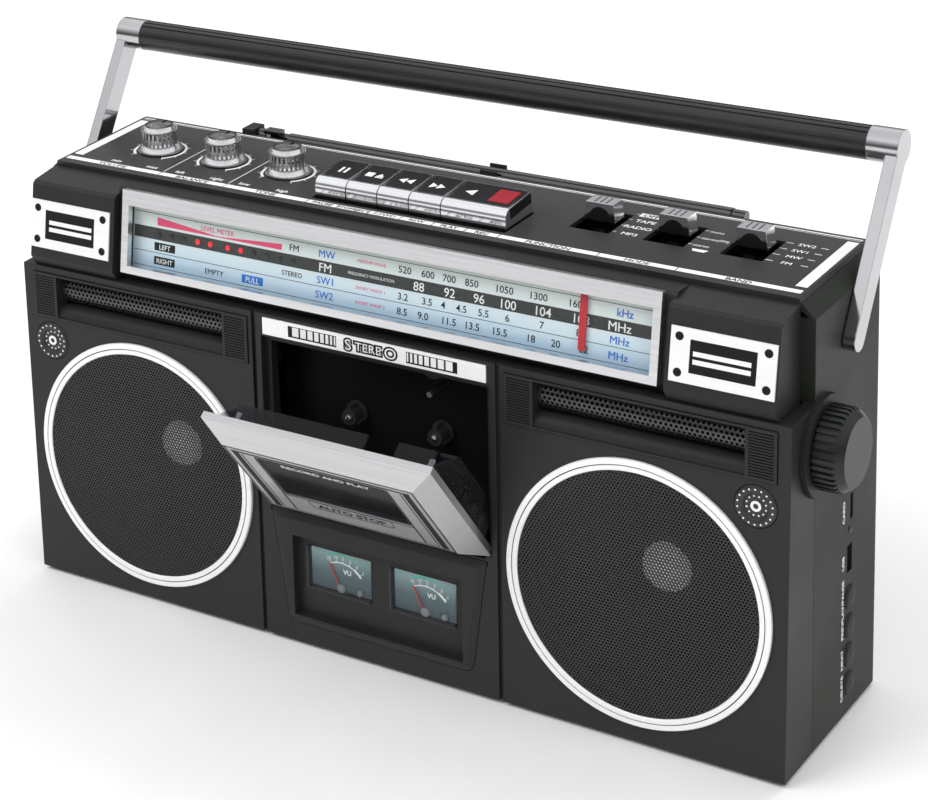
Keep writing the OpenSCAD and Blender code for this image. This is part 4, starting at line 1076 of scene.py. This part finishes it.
@dataclass
class TopPlate:
    """White print on the black control plate."""

    strip: tuple[float, float] = (30.6, 33.9)
    breaks: tuple[float, ...] = (-125, -90, -47, -31.5, -16, -0.5, 15, 30.5, 46, 91, 125)
    half: float = 177.0
    rear_lines: tuple[tuple[float, float], ...] = ((91.3, 0.8), (89.9, 0.3))
    end_strip: tuple[float, float] = (37.0, 88.0)
    dividers: tuple[float, ...] = (-125, -90)
    divider: tuple[float, float] = (35.0, 86.0)
    off_word: tuple[float, float] = (91.5, 78.8)
    function_words: tuple[tuple[str, float], ...] = (("TAPE", 72.3), ("RADIO", 65.1), ("MP3", 57.4))
    mode_words: tuple[tuple[str, float], ...] = (("mono", 74.3), ("stereo(FM)", 66.5), ("stereo", 58.6))
    band_words: tuple[tuple[str, float], ...] = (("SW2", 76.6), ("SW1", 70), ("MW", 63.3), ("FM", 56.4))
    knobs: tuple[float, ...] = (-143.5, -108.3, -73.7)
    knob_d: float = 58.0
    scale_r: tuple[float, float] = (11.2, 12.4)
    tick_r: tuple[float, float] = (12.4, 13.8)
    ink: float = 0.04
    ink_back: float = -0.005

    def build(self) -> None:
        """Prints the label strip, scales, lines and switch names."""
        print_on = Shape(LAYOUT.on_plate())
        self.label_strip(print_on)
        self.knob_scales(print_on)
        self.switch_names(print_on)
        for d, wide in self.rear_lines:
            self.bar(print_on, -self.half, self.half, d - wide / 2, d + wide / 2)
        for side in BOTH:
            x = side * (self.half - 2.6)
            self.bar(print_on, x - 2.4, x + 2.4, *self.end_strip)
        for x in self.dividers:
            self.bar(print_on, x - 0.2, x + 0.2, *self.divider)
        print_on.make("top_print", CABINET, "white_trim")

    def bar(self, shape: Shape, x0: float, x1: float, d0: float, d1: float) -> None:
        """Adds a printed bar between two places across and two depths."""
        shape.prism([(x0, d0), (x1, d0), (x1, d1), (x0, d1)], -self.ink, self.ink_back, WHITE_INK)

    def label_strip(self, shape: Shape) -> None:
        """Prints the white strip along the front edge, with black words.

        Args:
            shape: The shape that gets the print.
        """
        edges = [-self.half, *self.breaks, self.half]
        for x0, x1 in zip(edges, edges[1:]):
            self.bar(shape, x0 + 0.25, x1 - 0.25, *self.strip)
        words = ((-151, "VOLUME", 2.1), (-107.5, "BALANCE", 2.1), (-68.5, "TONE", 2.1), (-39.2, "PAUSE", 1.9),
                 (-23.7, "STOP/EJECT", 1.6), (-8.2, "F.FWD", 1.9), (7.3, "REW", 1.9), (22.8, "PLAY", 1.9),
                 (38.2, "REC", 1.9), (68.5, "FUNCTION", 2.1), (108, "MODE", 2.1), (151, "BAND", 2.1))
        for x, word, height in words:
            shape.text(word, x, sum(self.strip) / 2, height * 1.2, BLACK_INK, front=-self.ink - 0.03,
                       bold=0.09, wide=1.15)

    def knob_scales(self, shape: Shape) -> None:
        """Prints an arc round each knob, with a word at either end.

        Args:
            shape: The shape that gets the print.
        """
        ends = (("min", "max"), ("left", "right"), ("low", "high"))
        for x, (first, last) in zip(self.knobs, ends):
            shape.ring_arc(x, self.knob_d, *self.scale_r, -52, 232, -self.ink, self.ink_back, WHITE_INK)
            for i in range(11):
                shape.tick(x, self.knob_d, self.tick_r, 232 - 28.4 * i, (-self.ink, self.ink_back))
            shape.text(first, x - 9.3, 37.6, 2.7, WHITE_INK, bold=0.06)
            shape.text(last, x + 10.5, 37.6, 2.7, WHITE_INK, bold=0.06)

    def switch_names(self, shape: Shape) -> None:
        """Prints the positions beside each slide switch.

        Args:
            shape: The shape that gets the print.
        """
        self.bar(shape, 86.4, 96.6, 76.9, 80.7)
        shape.text("OFF", *self.off_word, 2.9, BLACK_INK, front=-self.ink - 0.02, bold=0.1)
        for word, d in self.function_words:
            shape.text(word, 92.0, d, 2.9, WHITE_INK, bold=0.08)
        for d in (self.off_word[1], *(d for _, d in self.function_words)):
            self.bar(shape, 84.6, 86.1, d - 0.15, d + 0.15)
        for word, d in self.mode_words:
            shape.text(word, 119.6, d, 2.4, WHITE_INK, align=Align.LEFT, wide=0.8)
            self.bar(shape, 117.4, 119.0, d - 0.2, d + 0.2)
        shape.prism([(121, 54.6), (122, 52.2), (127, 52.2), (128, 54.6)], -self.ink, self.ink_back, WHITE_INK)
        for word, d in self.band_words:
            shape.text(word, 160, d, 2.7, WHITE_INK, bold=0.05)
            for x in (151.2, 165.8):
                self.bar(shape, x, x + 3.0, d - 0.2, d + 0.2)


@dataclass
class Dial:
    """Print on the dial's card, and the red pointer."""

    face: float = 6.66
    half: float = 127.4
    band: tuple[float, float] = (15.8, 21.2)
    shift: float = -4.7
    rules: tuple[float, ...] = (27.4, 10.0, 3.3)
    rows: tuple[float, ...] = (24.3, 18.5, 12.9, 6.6)
    lamps: tuple[float, ...] = (-113.7, -106.8, -100.1, -93.1, -86.4, -77.2, -70.4, -63.6, -57.0, -50.2,
                                -43.6)
    lit: tuple[int, ...] = (3, 4, 5, 6)

    def build(self) -> None:
        """Prints the card's bands, numbers and level row, and builds the pointer."""
        card = Shape(LAYOUT.on_dial())
        self.stripe(card, -self.half, self.half, *self.band, BAND_INK)
        for z in self.rules:
            self.stripe(card, -self.half, self.half, z - 0.12, z + 0.12, BLACK_INK)
        self.numbers(card)
        self.level_row(card)
        card.make("dial_print", CABINET, "dial_print")
        lo, hi = low("dial_pointer"), high("dial_pointer")
        blade = Shape(LAYOUT.on_dial())
        x = (lo.x + hi.x) / 2
        outline = [(x - 1.3, 6.2), (x + 1.3, 6.2), (x + 1.5, 7.0), (x + 1.5, 33.8), (x - 1.5, 33.8),
                   (x - 1.5, 7.0)]
        blade.prism(outline, 4.95, 5.75, SIGNAL_RED, slope=0.1)
        blade.prism(rectangle(x, 0, 3.0, 4.3), -33.9, -33.1, SIGNAL_RED, moved(0, 7.1, 0) @ LYING)
        blade.prism(rounded(x, 29.0, 7.6, 9.2, 1.0), 8.4, 10.2, BLACK_STEEL)
        made = blade.make("pointer_blade", "pointer", "signal_red")
        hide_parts("dial_pointer")

    def stripe(self, shape: Shape, x0: float, x1: float, z0: float, z1: float, ink: Finish) -> None:
        """Adds a printed bar on the card."""
        shape.prism([(x0, z0), (x1, z0), (x1, z1), (x0, z1)], self.face, self.face + 0.03, ink)

    def word(self, shape: Shape, text: str, x: float, z: float, height: float, ink: Finish,
             bold: float = 0.0) -> None:
        """Adds a printed word on the card, above any bar."""
        shape.text(text, x, z, height, ink, front=self.face - 0.05, bold=bold)

    def numbers(self, shape: Shape) -> None:
        """Prints the four rows of frequencies.

        Args:
            shape: The shape that gets the print.
        """
        first, second, third, fourth = self.rows
        rows = (
            (first, BLACK_INK, ((520, 16), (600, 27), (700, 37), (850, 47.5), (1050, 62.4), (1300, 77.8),
                                (1600, 95.3))),
            (second, WHITE_INK, ((88, 23), (92, 37.5), (96, 51.2), (100, 64.3), (104, 80.1), (108, 97))),
            (third, BLACK_INK, ((3.2, 15.6), (3.5, 27.2), (4, 34.8), (4.5, 43.4), (5.5, 53.6), (6, 64.5),
                                (7, 80), (8, 96.4))),
            (fourth, BLACK_INK,
             ((8.5, 15.6), (9.0, 25.6), (11.5, 37.7), (13.5, 48.6), (15.5, 61.3), (18, 75.5),
                                 (20, 86.7), (22, 99))),
        )
        for z, ink, marks in rows:
            for number, x in marks:
                height = 3.9 if ink is WHITE_INK else 3.1
                self.word(shape, str(number), x + self.shift, z, height, ink, 0.03)
        units = (
            ("kHz", 116, first, BLUE_INK), ("MHz", 114, second, WHITE_INK), ("MHz", 114.3, third, BLUE_INK),
            ("MHz", 114, fourth, BLUE_INK), ("MW", -22.1, first, BLUE_INK), ("FM", -22.6, second, WHITE_INK),
            ("SW1", -22.1, third, BLUE_INK), ("SW2", -22.6, fourth, BLUE_INK),
        )
        for text, x, z, ink in units:
            self.word(shape, text, x + self.shift, z, 3.9 if ink is WHITE_INK else 3.3, ink, 0.06)
        for text, z in (("MEDIUM WAVE", first), ("SHORT WAVE 1", third), ("SHORT WAVE 2", fourth)):
            self.word(shape, text, self.shift, z, 1.5, PINK_INK)
        self.word(shape, "FREQUENCY MODULATION", self.shift, second, 1.3, WHITE_INK)

    def level_row(self, shape: Shape) -> None:
        """Prints the wedge, the lamp holes and the words at the left.

        Args:
            shape: The shape that gets the print.
        """
        for x0, x1, z1 in ((-114.9, -84.0, 26.0), (-49.5, -80.0, 24.9)):
            corners = [(x0, 22.3), (x1, 22.3), (x1, 22.8), (x0, z1)]
            shape.prism(corners if x0 < x1 else corners[::-1], self.face - 0.01, self.face + 0.03, PINK_INK)
        self.stripe(shape, -84.1, -79.9, 22.3, 22.8, PINK_INK)
        self.word(shape, "LEVEL METER", -83.0, 25.0, 2.2, PINK_INK, 0.04)
        self.word(shape, "FM", -43.2, 24.3, 3.0, BLACK_INK, 0.05)
        for i, x in enumerate(self.lamps):
            shape.lathe([(1.25, 0.0), (1.0, -0.4), (0, -0.55)], LAMP_RED if i in self.lit else DARK_LAMP,
                        moved(x, self.face - 0.02, 18.5), steps=20)
        for z, word in ((12.9, "LEFT"), (6.6, "RIGHT")):
            self.stripe(shape, -116.2, -105, z - 1.8, z + 1.8, BLACK_INK)
            self.word(shape, word, -110.6, z, 2.2, WHITE_INK, 0.03)
        self.word(shape, "EMPTY", -83.9, 6.6, 2.4, BLACK_INK, 0.03)
        self.stripe(shape, -69.4, -58.4, 4.8, 8.4, BLUE_INK)
        self.word(shape, "FULL", -63.9, 6.6, 2.4, WHITE_INK, 0.03)
        self.word(shape, "STEREO", -43.8, 12.9, 2.2, BLACK_INK, 0.03)


@dataclass
class TrimAndBadge:
    """Print on the white plates beside the dial and on the strip above the door."""

    badge_h0: float = 141.9

    def build(self) -> None:
        """Prints both plates and the strip."""
        plates = Shape(LAYOUT.on_trim())
        for side in BOTH:
            plates.prism(rectangle(side * 156.9, 15.7, 27.4, 13.2), -0.84, -0.79, BLACK_INK)
            for z in (16.9, 13.7):
                plates.prism(rectangle(side * 156.5, z, 23.8, 1.9), -0.88, -0.83, WHITE_INK)
            for x in (138.6, 175.0):
                for z in (8.5, 22.8):
                    plates.lathe([(1.75, -0.86), (1.3, -0.92), (0.7, -0.6), (0, -0.55)], BLACK_INK,
                                 moved(side * x, 0, z), steps=20)
        plates.make("trim_print", CABINET, "white_trim")
        badge = Shape(LAYOUT.front(0, self.badge_h0))
        for word, x, height in (("S", -11.2, 5.0), ("TERE", -1.4, 3.9), ("O", 9.4, 5.0)):
            badge.text(word, x, 3.8, height, BLACK_INK, front=-0.42, bold=0.8, wide=1.1)
            badge.text(word, x, 3.8, height, WHITE_INK, front=-0.46, bold=0.02, wide=1.1)
        for side in BOTH:
            badge.prism(rectangle(side * 29.1, 3.7, 24.2, 5.0), -0.42, -0.39, BLACK_INK)
            near = 17.4
            for i in range(8):
                far = near + 0.7 + 0.36 * i
                badge.prism(rectangle(side * (near + far) / 2, 3.9, far - near, 4.0), -0.46, -0.41, WHITE_INK)
                near = far + 0.85
        badge.make("badge_print", CABINET, "white_trim")


@dataclass
class Meters:
    """Both level meters: covers, faces, print and the domes that hide the needles' shafts."""

    x: float = 21.0
    h: float = 36.4
    w: float = 32.0
    tall: float = 20.0
    face: float = 4.0
    pivot: float = -8.1
    arc_r: tuple[float, float] = (12.3, 12.8)
    loud_r: tuple[float, float] = (12.1, 13.1)
    tick_r: tuple[float, float] = (12.7, 13.7)
    number_r: float = 14.9

    def build(self) -> None:
        """Builds the cover and the face of each meter."""
        covers, cases = [], []
        for side, name in zip(BOTH, ("left", "right")):
            place = LAYOUT.front(side * self.x, self.h)
            cover = Shape(place)
            cover.prism(rounded(0, 0, self.w, self.tall, 1.2), 0.8, 1.2, CLEAR, slope=0.5)
            cover.band(rounded(0, 0, self.w, self.tall, 1.2),
                       rounded(0, 0, self.w - 1.6, self.tall - 1.6, 0.8), 1.2, 3.9, CLEAR)
            covers.append(cover.make(f"meter_cover_{name}", CABINET, "clear_plastic", smooth=30))
            case = Shape(place)
            case.prism(rounded(0, 0, self.w - 0.2, self.tall - 0.2, 0.8), self.face + 0.05, 15, INNER_BLACK)
            case.prism(rounded(0, 0, self.w - 1.8, self.tall - 1.8, 0.6), self.face, self.face + 0.06,
                       METER_CARD)
            self.scale(case)
            cases.append(case.make(f"meter_face_{name}", CABINET, "meter_face"))
        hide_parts("meter_cases")

    def scale(self, shape: Shape) -> None:
        """Prints a meter's arc, marks, numbers and wedge.

        Args:
            shape: The shape that gets the print.
        """
        y, z0 = self.face - 0.03, self.pivot
        shape.ring_arc(0, z0, *self.arc_r, 42, 118, y, self.face, WHITE_INK)
        shape.ring_arc(0, z0, *self.loud_r, 38, 58, y - 0.01, self.face, WHITE_INK)
        for i, word in enumerate(("20", "10", "5", "3", "0", "3")):
            degrees = 115 - 14.4 * i
            c, s = math.cos(math.radians(degrees)), math.sin(math.radians(degrees))
            shape.tick(0, z0, self.tick_r, degrees, (y, self.face))
            shape.text(word, self.number_r * c, z0 + self.number_r * s, 1.5, WHITE_INK, front=y)
        outer = arc(0, z0, 16.9, 44, 112, 17)
        inner = [((15.9 + (112 - t) * 0.012) * math.cos(math.radians(t)),
                  z0 + (15.9 + (112 - t) * 0.012) * math.sin(math.radians(t))) for t in range(112, 43, -4)]
        shape.prism(outer + inner, y, self.face, GREEN_INK)
        shape.text("VU", 3.0, 0.6, 2.3, WHITE_INK, front=y, bold=0.08)
        for x, radius in ((0.0, 2.3), (9.5, 1.6)):
            shape.lathe([(radius, 0.0), (radius * 0.9, -0.8), (radius * 0.6, -1.2), (0, -1.4)], METER_GREY,
                        moved(x, self.face, z0 + 0.6), steps=28)


@dataclass
class Door:
    """Print and trim on the cassette door's frame and pane."""

    front: float = -6.0
    pane: float = -5.5
    clip_x: float = 46.6
    side_lines: tuple[tuple[float, float, float, float], ...] = (
        (41.2, 35.6, 3.2, 49.4), (31.9, 35.2, 0.9, 46.2), (38.3, 35.2, 0.6, 46.2))
    cross_lines: tuple[tuple[float, float, float], ...] = ((59.75, 86.2, 1.1), (11.2, 77, 0.3),
                                                           (25.6, 63, 0.5))

    def line(self, shape: Shape, x: float, z: float, wide: float, tall: float) -> None:
        """Adds a straight printed line on the frame."""
        shape.prism(rectangle(x, z, wide, tall), self.front - 0.05, self.front + 0.02, BLACK_INK)

    def outline_print(self, shape: Shape, half_w: float, z0: float, z1: float, wide: float,
                      ink: Finish) -> None:
        """Adds a printed line round a rectangle.

        Args:
            shape: The shape that gets the line.
            half_w: Half of the rectangle's width.
            z0: Its lowest height.
            z1: Its highest height.
            wide: Width of the line.
            ink: The line's ink.
        """
        mid, tall = (z0 + z1) / 2, z1 - z0
        shape.band(rectangle(0, mid, half_w * 2, tall),
                   rectangle(0, mid, (half_w - wide) * 2, tall - 2 * wide),
                   self.front - 0.04, self.front + 0.02, ink)

    def build(self) -> None:
        """Prints the frame and the pane, and adds the tray's lip and clips and the reels' tips."""
        trim = Shape(LAYOUT.on_door())
        self.outline_print(trim, 45.7, 9.4, 63.0, 0.8, BLACK_INK)
        for side in BOTH:
            for x, z, wide, tall in self.side_lines:
                self.line(trim, side * x, z, wide, tall)
        for z, wide, tall in self.cross_lines:
            self.line(trim, 0, z, wide, tall)
        box = [(20.5, 25.4), (-20.5, 25.4)] + arc(-17.5, 21.7, 3, 180, 270, 5) + arc(17.5, 21.7, 3, 270, 360,
                                                                                     5)
        inner = [(20.1, 25.0), (-20.1, 25.0)] + arc(-17.5, 21.7, 2.6, 180, 270, 5) + arc(17.5, 21.7, 2.6, 270,
                                                                                         360, 5)
        trim.band(box, inner, self.front - 0.06, self.front + 0.02, BLACK_INK)
        trim.text("AUTO STOP", 0, 21.9, 3.3, BLACK_INK, front=self.front - 0.06, bold=0.16, wide=1.35)
        trim.text("RECORD AND PLAY", 0.5, 54.4, 2.4, WHITE_INK, front=self.pane - 0.03, bold=0.06, wide=1.45)
        trim.make("door_print", "door", "silver_trim")
        lip = Shape(LAYOUT.on_door())
        for x, wide in ((-16.0, 64.0), (39.0, 18.0)):
            lip.prism(rectangle(x, 63.2, wide, 5.2), 4.2, 5.4, TRAY_SMOKE, slope=0.3)
            lip.prism(rectangle(x, 0, wide, 9.0), -0.5, 0.5, TRAY_SMOKE, moved(0, 9.8, 61.0) @ LYING,
                      slope=0.2)
        lip.make("tray_lip", "door", "smoke_plastic")
        clips = Shape(LAYOUT.on_door())
        for side in BOTH:
            clips.prism([(side * self.clip_x - 1.6, 50), (side * self.clip_x + 1.6, 50),
                         (side * self.clip_x + 1.2, 60), (side * self.clip_x - 1.2, 60)],
                        7.0, 7.5, STEEL)
            clips.prism(rectangle(side * self.clip_x, 0, 2.6, 4.6), -0.3, 0.3, CHROME,
                        moved(0, 9.0, 60.0) @ LYING, slope=0.3)
        clips.make("tray_clips", "door", "steel")
        for node, body in (("supply_reel", "reel_supply"), ("takeup_reel", "reel_takeup")):
            lo, hi = low(node), high(node)
            tip = Shape(moved((lo.x + hi.x) / 2, lo.y, (lo.z + hi.z) / 2))
            tip.lathe([(1.7, 0.6), (1.7, -0.2), (1.2, -0.9), (0, -1.1)], CHROME, steps=24)
            tip.make(f"{body}_tip", body, "steel", smooth=40)


@dataclass
class DeckKeys:
    """Black inlays and symbols on the chrome keys, and a black sheet of painted shade beside the play and
    record key.
    """

    left: float = -47.0
    pitch: float = 15.5
    depth: tuple[float, float] = (43.2, 59.4)
    top: tuple[float, float] = (41.8, 60.5)
    heights: tuple[float, float] = (204.44, 205.9)
    bodies: tuple[str, ...] = ("key_pause", "key_stop", "key_forward", "key_rewind", "key_play_record")

    def slope(self) -> Matrix:
        """The keys' top frame: x across, z up the slope to the back, y down."""
        rise = math.degrees(math.atan((self.heights[1] - self.heights[0]) / (self.top[1] - self.top[0])))
        return moved(0, -LAYOUT.body_d / 2 + self.top[0], self.heights[0]) @ turned(rise, "X") @ LYING

    def build(self) -> None:
        """Builds each key's inlay and symbol."""
        place = self.slope()
        for i, body in enumerate(self.bodies):
            x0 = self.left + i * self.pitch + 0.2
            x1 = self.left + (i + (2 if i == 4 else 1)) * self.pitch - 0.2
            shape = Shape(place)
            z0, z1 = self.depth[0] - self.top[0], self.depth[1] - self.top[0]
            shape.prism([(x0 + 1.3, z0), (x1 - 1.3, z0), (x1 - 1.3, z1), (x0 + 1.3, z1)], -0.1, 0.3,
                        BLACK_INK, slope=0.1)
            self.symbol(shape, i, x0 + self.pitch / 2 - 0.2)
            if i == 4:
                cx, cz = x1 - 7.4, (z0 + z1) / 2
                shape.prism(rectangle(cx, cz, 10.0, 12.0), -0.42, 0.1, KEY_RED, slope=0.5)
                # A thin black sheet down the play and record key's right side: painted shade in the gap
                # beside the key.
                shape.prism([(x1 - 0.02, 0.5), (x1 + 0.05, 0.5), (x1 + 0.05, 18.2), (x1 - 0.02, 18.2)], 0.4,
                            5.0, BLACK_INK)
            shape.make(f"{body}_inlay", body, "deck_black")

    def symbol(self, shape: Shape, index: int, x: float) -> None:
        """Adds a key's symbol.

        Args:
            shape: The shape that gets it.
            index: Which key, from the left.
            x: The symbol's middle.
        """
        z, y0, y1 = 8.6, -0.2, -0.1

        def triangle(cx: float, tip: float, tall: float = 2.3) -> None:
            """Adds a triangle that points to the right, or to the left for a tip below zero."""
            points = [(cx - tip, z - tall), (cx - tip, z + tall), (cx + tip, z)]
            shape.prism(points if tip > 0 else points[::-1], y0, y1, WHITE_INK)

        if index == 0:
            for s in BOTH:
                shape.prism(rectangle(x + s * 1.3, z, 1.2, 5.0), y0, y1, WHITE_INK)
        elif index == 1:
            shape.prism(rectangle(x - 2.4, z, 3.6, 3.8), y0, y1, WHITE_INK)
            shape.prism([(x + 0.8, z - 0.9), (x + 4.6, z - 0.9), (x + 2.7, z + 2.0)], y0, y1, WHITE_INK)
            shape.prism(rectangle(x + 2.7, z - 1.7, 3.8, 0.7), y0, y1, WHITE_INK)
        elif index in (2, 3):
            tip = -1.7 if index == 2 else 1.7
            triangle(x - 1.8, tip)
            triangle(x + 1.8, tip)
        else:
            triangle(x, -2.3, 2.6)


@dataclass
class SideWall:
    """Print, painted shade round the buttons, lamp and socket lining on the right-hand wall."""

    label_x: float = 55.6
    usb_h: float = 70.0
    lamp_h: float = 82.5
    card_h: float = 92.5
    socket_x: float = 62.0
    button_h: float = 52.7
    pitch: float = 13.1

    def label(self, shape: Shape, word: str, z: float) -> None:
        """Prints a small word that reads upwards."""
        place = moved(self.label_x, -0.02, z) @ turned(-90, "Y")
        shape.text(word, 0, 0, 2.1, WHITE_INK, place, bold=0.08, wide=1.25)

    def build(self) -> None:
        """Builds the small labels, the painted shade round the buttons, the lamp and the socket's lining."""
        wall = Shape(LAYOUT.on_side())
        words = ("PLAY/PAUSE", "PREV", "NEXT", "DELETE")
        for i, word in enumerate(words):
            z = self.button_h - i * self.pitch
            self.label(wall, word, z)
            # A thin black ring round each button: painted shade in the gap round it.
            wall.band(arc(self.socket_x, z, 5.9, 0, 345, 23), arc(self.socket_x, z, 5.5, 0, 345, 23), -0.03,
                      0.02, BLACK_INK)
        for word, z in (("USB", self.usb_h), ("CARD", self.card_h)):
            self.label(wall, word, z)
        wall.make("side_print_and_gap_shade", CABINET, "white_trim")
        lamp = Shape(LAYOUT.on_side(self.socket_x, self.lamp_h))
        lamp.lathe([(1.35, 2.0), (1.35, -0.1), (0.9, -0.5), (0, -0.65)], DARK_LAMP, steps=24)
        lamp.make("side_lamp", CABINET, "signal_red", smooth=40)
        lining = Shape(LAYOUT.on_side(self.socket_x, self.usb_h))
        lining.band(rectangle(0, 0, 5.8, 13.0), rectangle(0, 0, 5.0, 12.2), -0.05, 4.8, BLACK_STEEL)
        lining.make("socket_lining", CABINET, "steel")


@dataclass
class BackWall:
    """Painted shade in place of the vent slots, and the mains inlet's pins on the back wall."""

    inlet: tuple[float, float] = (140.0, 30.0)
    vent: tuple[float, float] = (140.0, 70.0)
    vent_pitch: float = 5.2
    vents: int = 14

    def build(self) -> None:
        """Builds the painted vent shade and the inlet's pins."""
        back = Shape(LAYOUT.on_back())
        # Flat black slots: painted shade standing in for the dark openings of the vents.
        for side in BOTH:
            for i in range(self.vents):
                back.prism(rounded(side * self.vent[0], self.vent[1] + i * self.vent_pitch, 52, 2.0, 0.9, 3),
                           -0.03, 0.02, INNER_BLACK)
        back.make("back_vent_shade", CABINET, "inner_black")
        pins = Shape(LAYOUT.on_back() @ moved(-self.inlet[0], 0, self.inlet[1]))
        for side in BOTH:
            pins.lathe([(0, 0.6), (0.9, 0.9), (1.2, 1.4), (1.2, 3.9)], BRASS, moved(side * 5, 0, 0), steps=20)
        pins.make("inlet_pins", CABINET, "brass", smooth=40)


@dataclass
class Controls:
    """Caps and markings on the rotary knobs and slide switches."""

    knobs: tuple[tuple[str, float], ...] = (("volume", -143.5), ("balance", -108.3), ("tone", -73.7))
    switches: tuple[tuple[str, float], ...] = (("function", 75.3), ("mode", 108.3), ("band", 141.8))
    knob_d: float = 58.0
    switch_d: float = 68.0

    def build(self) -> None:
        """Builds a pointer mark for each knob and the dark saddle of each switch cap."""
        for name, x in self.knobs:
            cap = Shape(moved(x, -LAYOUT.body_d / 2 + self.knob_d, LAYOUT.plate_z) @ LYING)
            cap.band(arc(0, 0, 6.2, 0, 350, 35), arc(0, 0, 5.8, 0, 350, 35), -12.52, -12.3, BLACK_STEEL)
            cap.prism(rounded(0, 4.0, 0.9, 3.2, 0.4, 3), -12.56, -12.2, BLACK_INK)
            cap.make(f"{name}_mark", name, "deck_black")
        for name, x in self.switches:
            cap = Shape(moved(x, -LAYOUT.body_d / 2 + self.switch_d, LAYOUT.plate_z))
            saddle = [(-6.95, 0.7), (6.95, 0.7), (6.7, 2.2)] + arc(0, 2.0, 4.6, 20, 160, 10) + [(-6.7, 2.2)]
            for front, back in ((-4.06, -3.9), (3.9, 4.06)):
                cap.prism(saddle, front, back, BLACK_INK)
            for i in range(3):
                cap.prism(rectangle(0, 0, 0.5, 6.4), -8.45, -8.3, BLACK_STEEL,
                          moved((i - 1) * 2.6, 0, 0) @ LYING)
            cap.make(f"{name}_switch_mark", name, "deck_black")


# ---- Room, light and camera ----


@dataclass
class Studio:
    """Floor, lamps and camera."""

    floor_half: float = 3.0
    lamps: tuple[tuple[str, tuple[float, float, float], float, float], ...] = (
        ("key_lamp", (-0.9, -1.3, 1.9), 1.3, 28.0), ("fill_lamp", (1.7, -0.9, 1.0), 1.6, 10.0),
        ("back_lamp", (0.3, 1.6, 1.7), 1.4, 20.0))
    position: tuple[float, float, float] = (548.6, -887.3, 591.6)
    azimuth: float = 36.68
    elevation: float = 17.96
    roll: float = -3.81
    sensor: float = 36.0
    lens: float = 102.51466
    shift: tuple[float, float] = (0.2873922, -0.3357759)
    sky_steps: tuple[tuple[float, float], ...] = ((0.0, 0.25), (0.48, 0.18), (0.56, 0.12), (0.68, 0.5),
                                                  (0.82, 1.2), (1.0, 0.9))

    def floor_finish(self) -> Finish:
        """The pale floor's finish."""
        return Finish("studio_floor", "", (0.8, 0.8, 0.8), 0.6, texture=Texture.SMOOTH, relief=0.01,
                      change=0.01)

    def build(self) -> None:
        """Builds the floor, the lamps and the camera."""
        floor = Shape(LYING)
        floor.prism(rounded(0, 0, self.floor_half * 2000, self.floor_half * 2000, 900, 8), 0.0, 20.0,
                    self.floor_finish())
        made = floor.make("studio_floor", None)
        self.sky()
        for name, at, size, power in self.lamps:
            self.lamp(name, at, size, power)
        self.camera()

    def sky(self) -> None:
        """Makes the soft even world light."""
        world = bpy.data.worlds.new("studio_sky")
        world.use_nodes = True
        tree = Tree(world.node_tree)
        ground = world.node_tree.nodes["Background"]
        way = tree.add("ShaderNodeTexCoord").outputs["Generated"]
        up = tree.add("ShaderNodeSeparateXYZ", Vector=way).outputs["Z"]
        height = tree.add("ShaderNodeMapRange", Value=up, From_Min=-1.0, From_Max=1.0)
        glow = tree.ramp(height.outputs[0],
                         [(value, (grey, grey, grey * 1.02)) for value, grey in self.sky_steps])
        seen = tree.add("ShaderNodeLightPath").outputs["Is Camera Ray"]
        colour = tree.add("ShaderNodeMix", {"data_type": "RGBA"}, i0=seen, i6=glow, i7=(1.0, 1.0, 1.0))
        tree.put(ground.inputs["Color"], colour.outputs[2])
        ground.inputs["Strength"].default_value = 1.0
        bpy.context.scene.world = world
        bpy.context.scene.view_settings.view_transform = "Standard"

    def lamp(self, name: str, at: tuple[float, float, float], size: float, power: float) -> None:
        """Adds a soft square lamp that looks at the object.

        Args:
            name: Its name.
            at: Its place in metres.
            size: Its side in metres.
            power: Its power in watts.
        """
        light = bpy.data.lights.new(name, "AREA")
        light.size, light.energy = size, power
        made = bpy.data.objects.new(name, light)
        made.location = at
        made.rotation_euler = (Vector((0, 0, 0.1)) - Vector(at)).to_track_quat("-Z", "Y").to_euler()
        made.visible_glossy = False
        bpy.context.scene.collection.objects.link(made)

    def camera(self) -> None:
        """Places the camera with its lens and framing."""
        a, e, r = (math.radians(v) for v in (self.azimuth, self.elevation, self.roll))
        back = Vector((math.sin(a) * math.cos(e), -math.cos(a) * math.cos(e), math.sin(e)))
        right = Vector((math.cos(a), math.sin(a), 0))
        up = back.cross(right)
        across = right * math.cos(r) + up * math.sin(r)
        above = back.cross(across)
        data = bpy.data.cameras.new("main_view")
        data.sensor_width = self.sensor
        data.lens = self.lens
        data.shift_x, data.shift_y = self.shift
        data.clip_start, data.clip_end = 0.05, 20.0
        made = bpy.data.objects.new("main_view", data)
        made.matrix_world = Matrix.Translation(Vector(self.position) * MM) @ Matrix(
            (across, above, back)).transposed().to_4x4()
        bpy.context.scene.collection.objects.link(made)
        bpy.context.scene.camera = made


def main() -> None:
    """Builds every sub-assembly in order."""
    logging.basicConfig(level=logging.INFO, format="%(message)s")
    pieces = (Shells(), Speakers(), Horns(), TopPlate(), Dial(), TrimAndBadge(), Meters(), Door(), DeckKeys(),
              Controls(), SideWall(), BackWall(), Studio())
    for piece in pieces:
        make = getattr(piece, "dress", None) or piece.build
        make()
        log.info("%s made", type(piece).__name__)


if __name__ == "__main__":
    main()
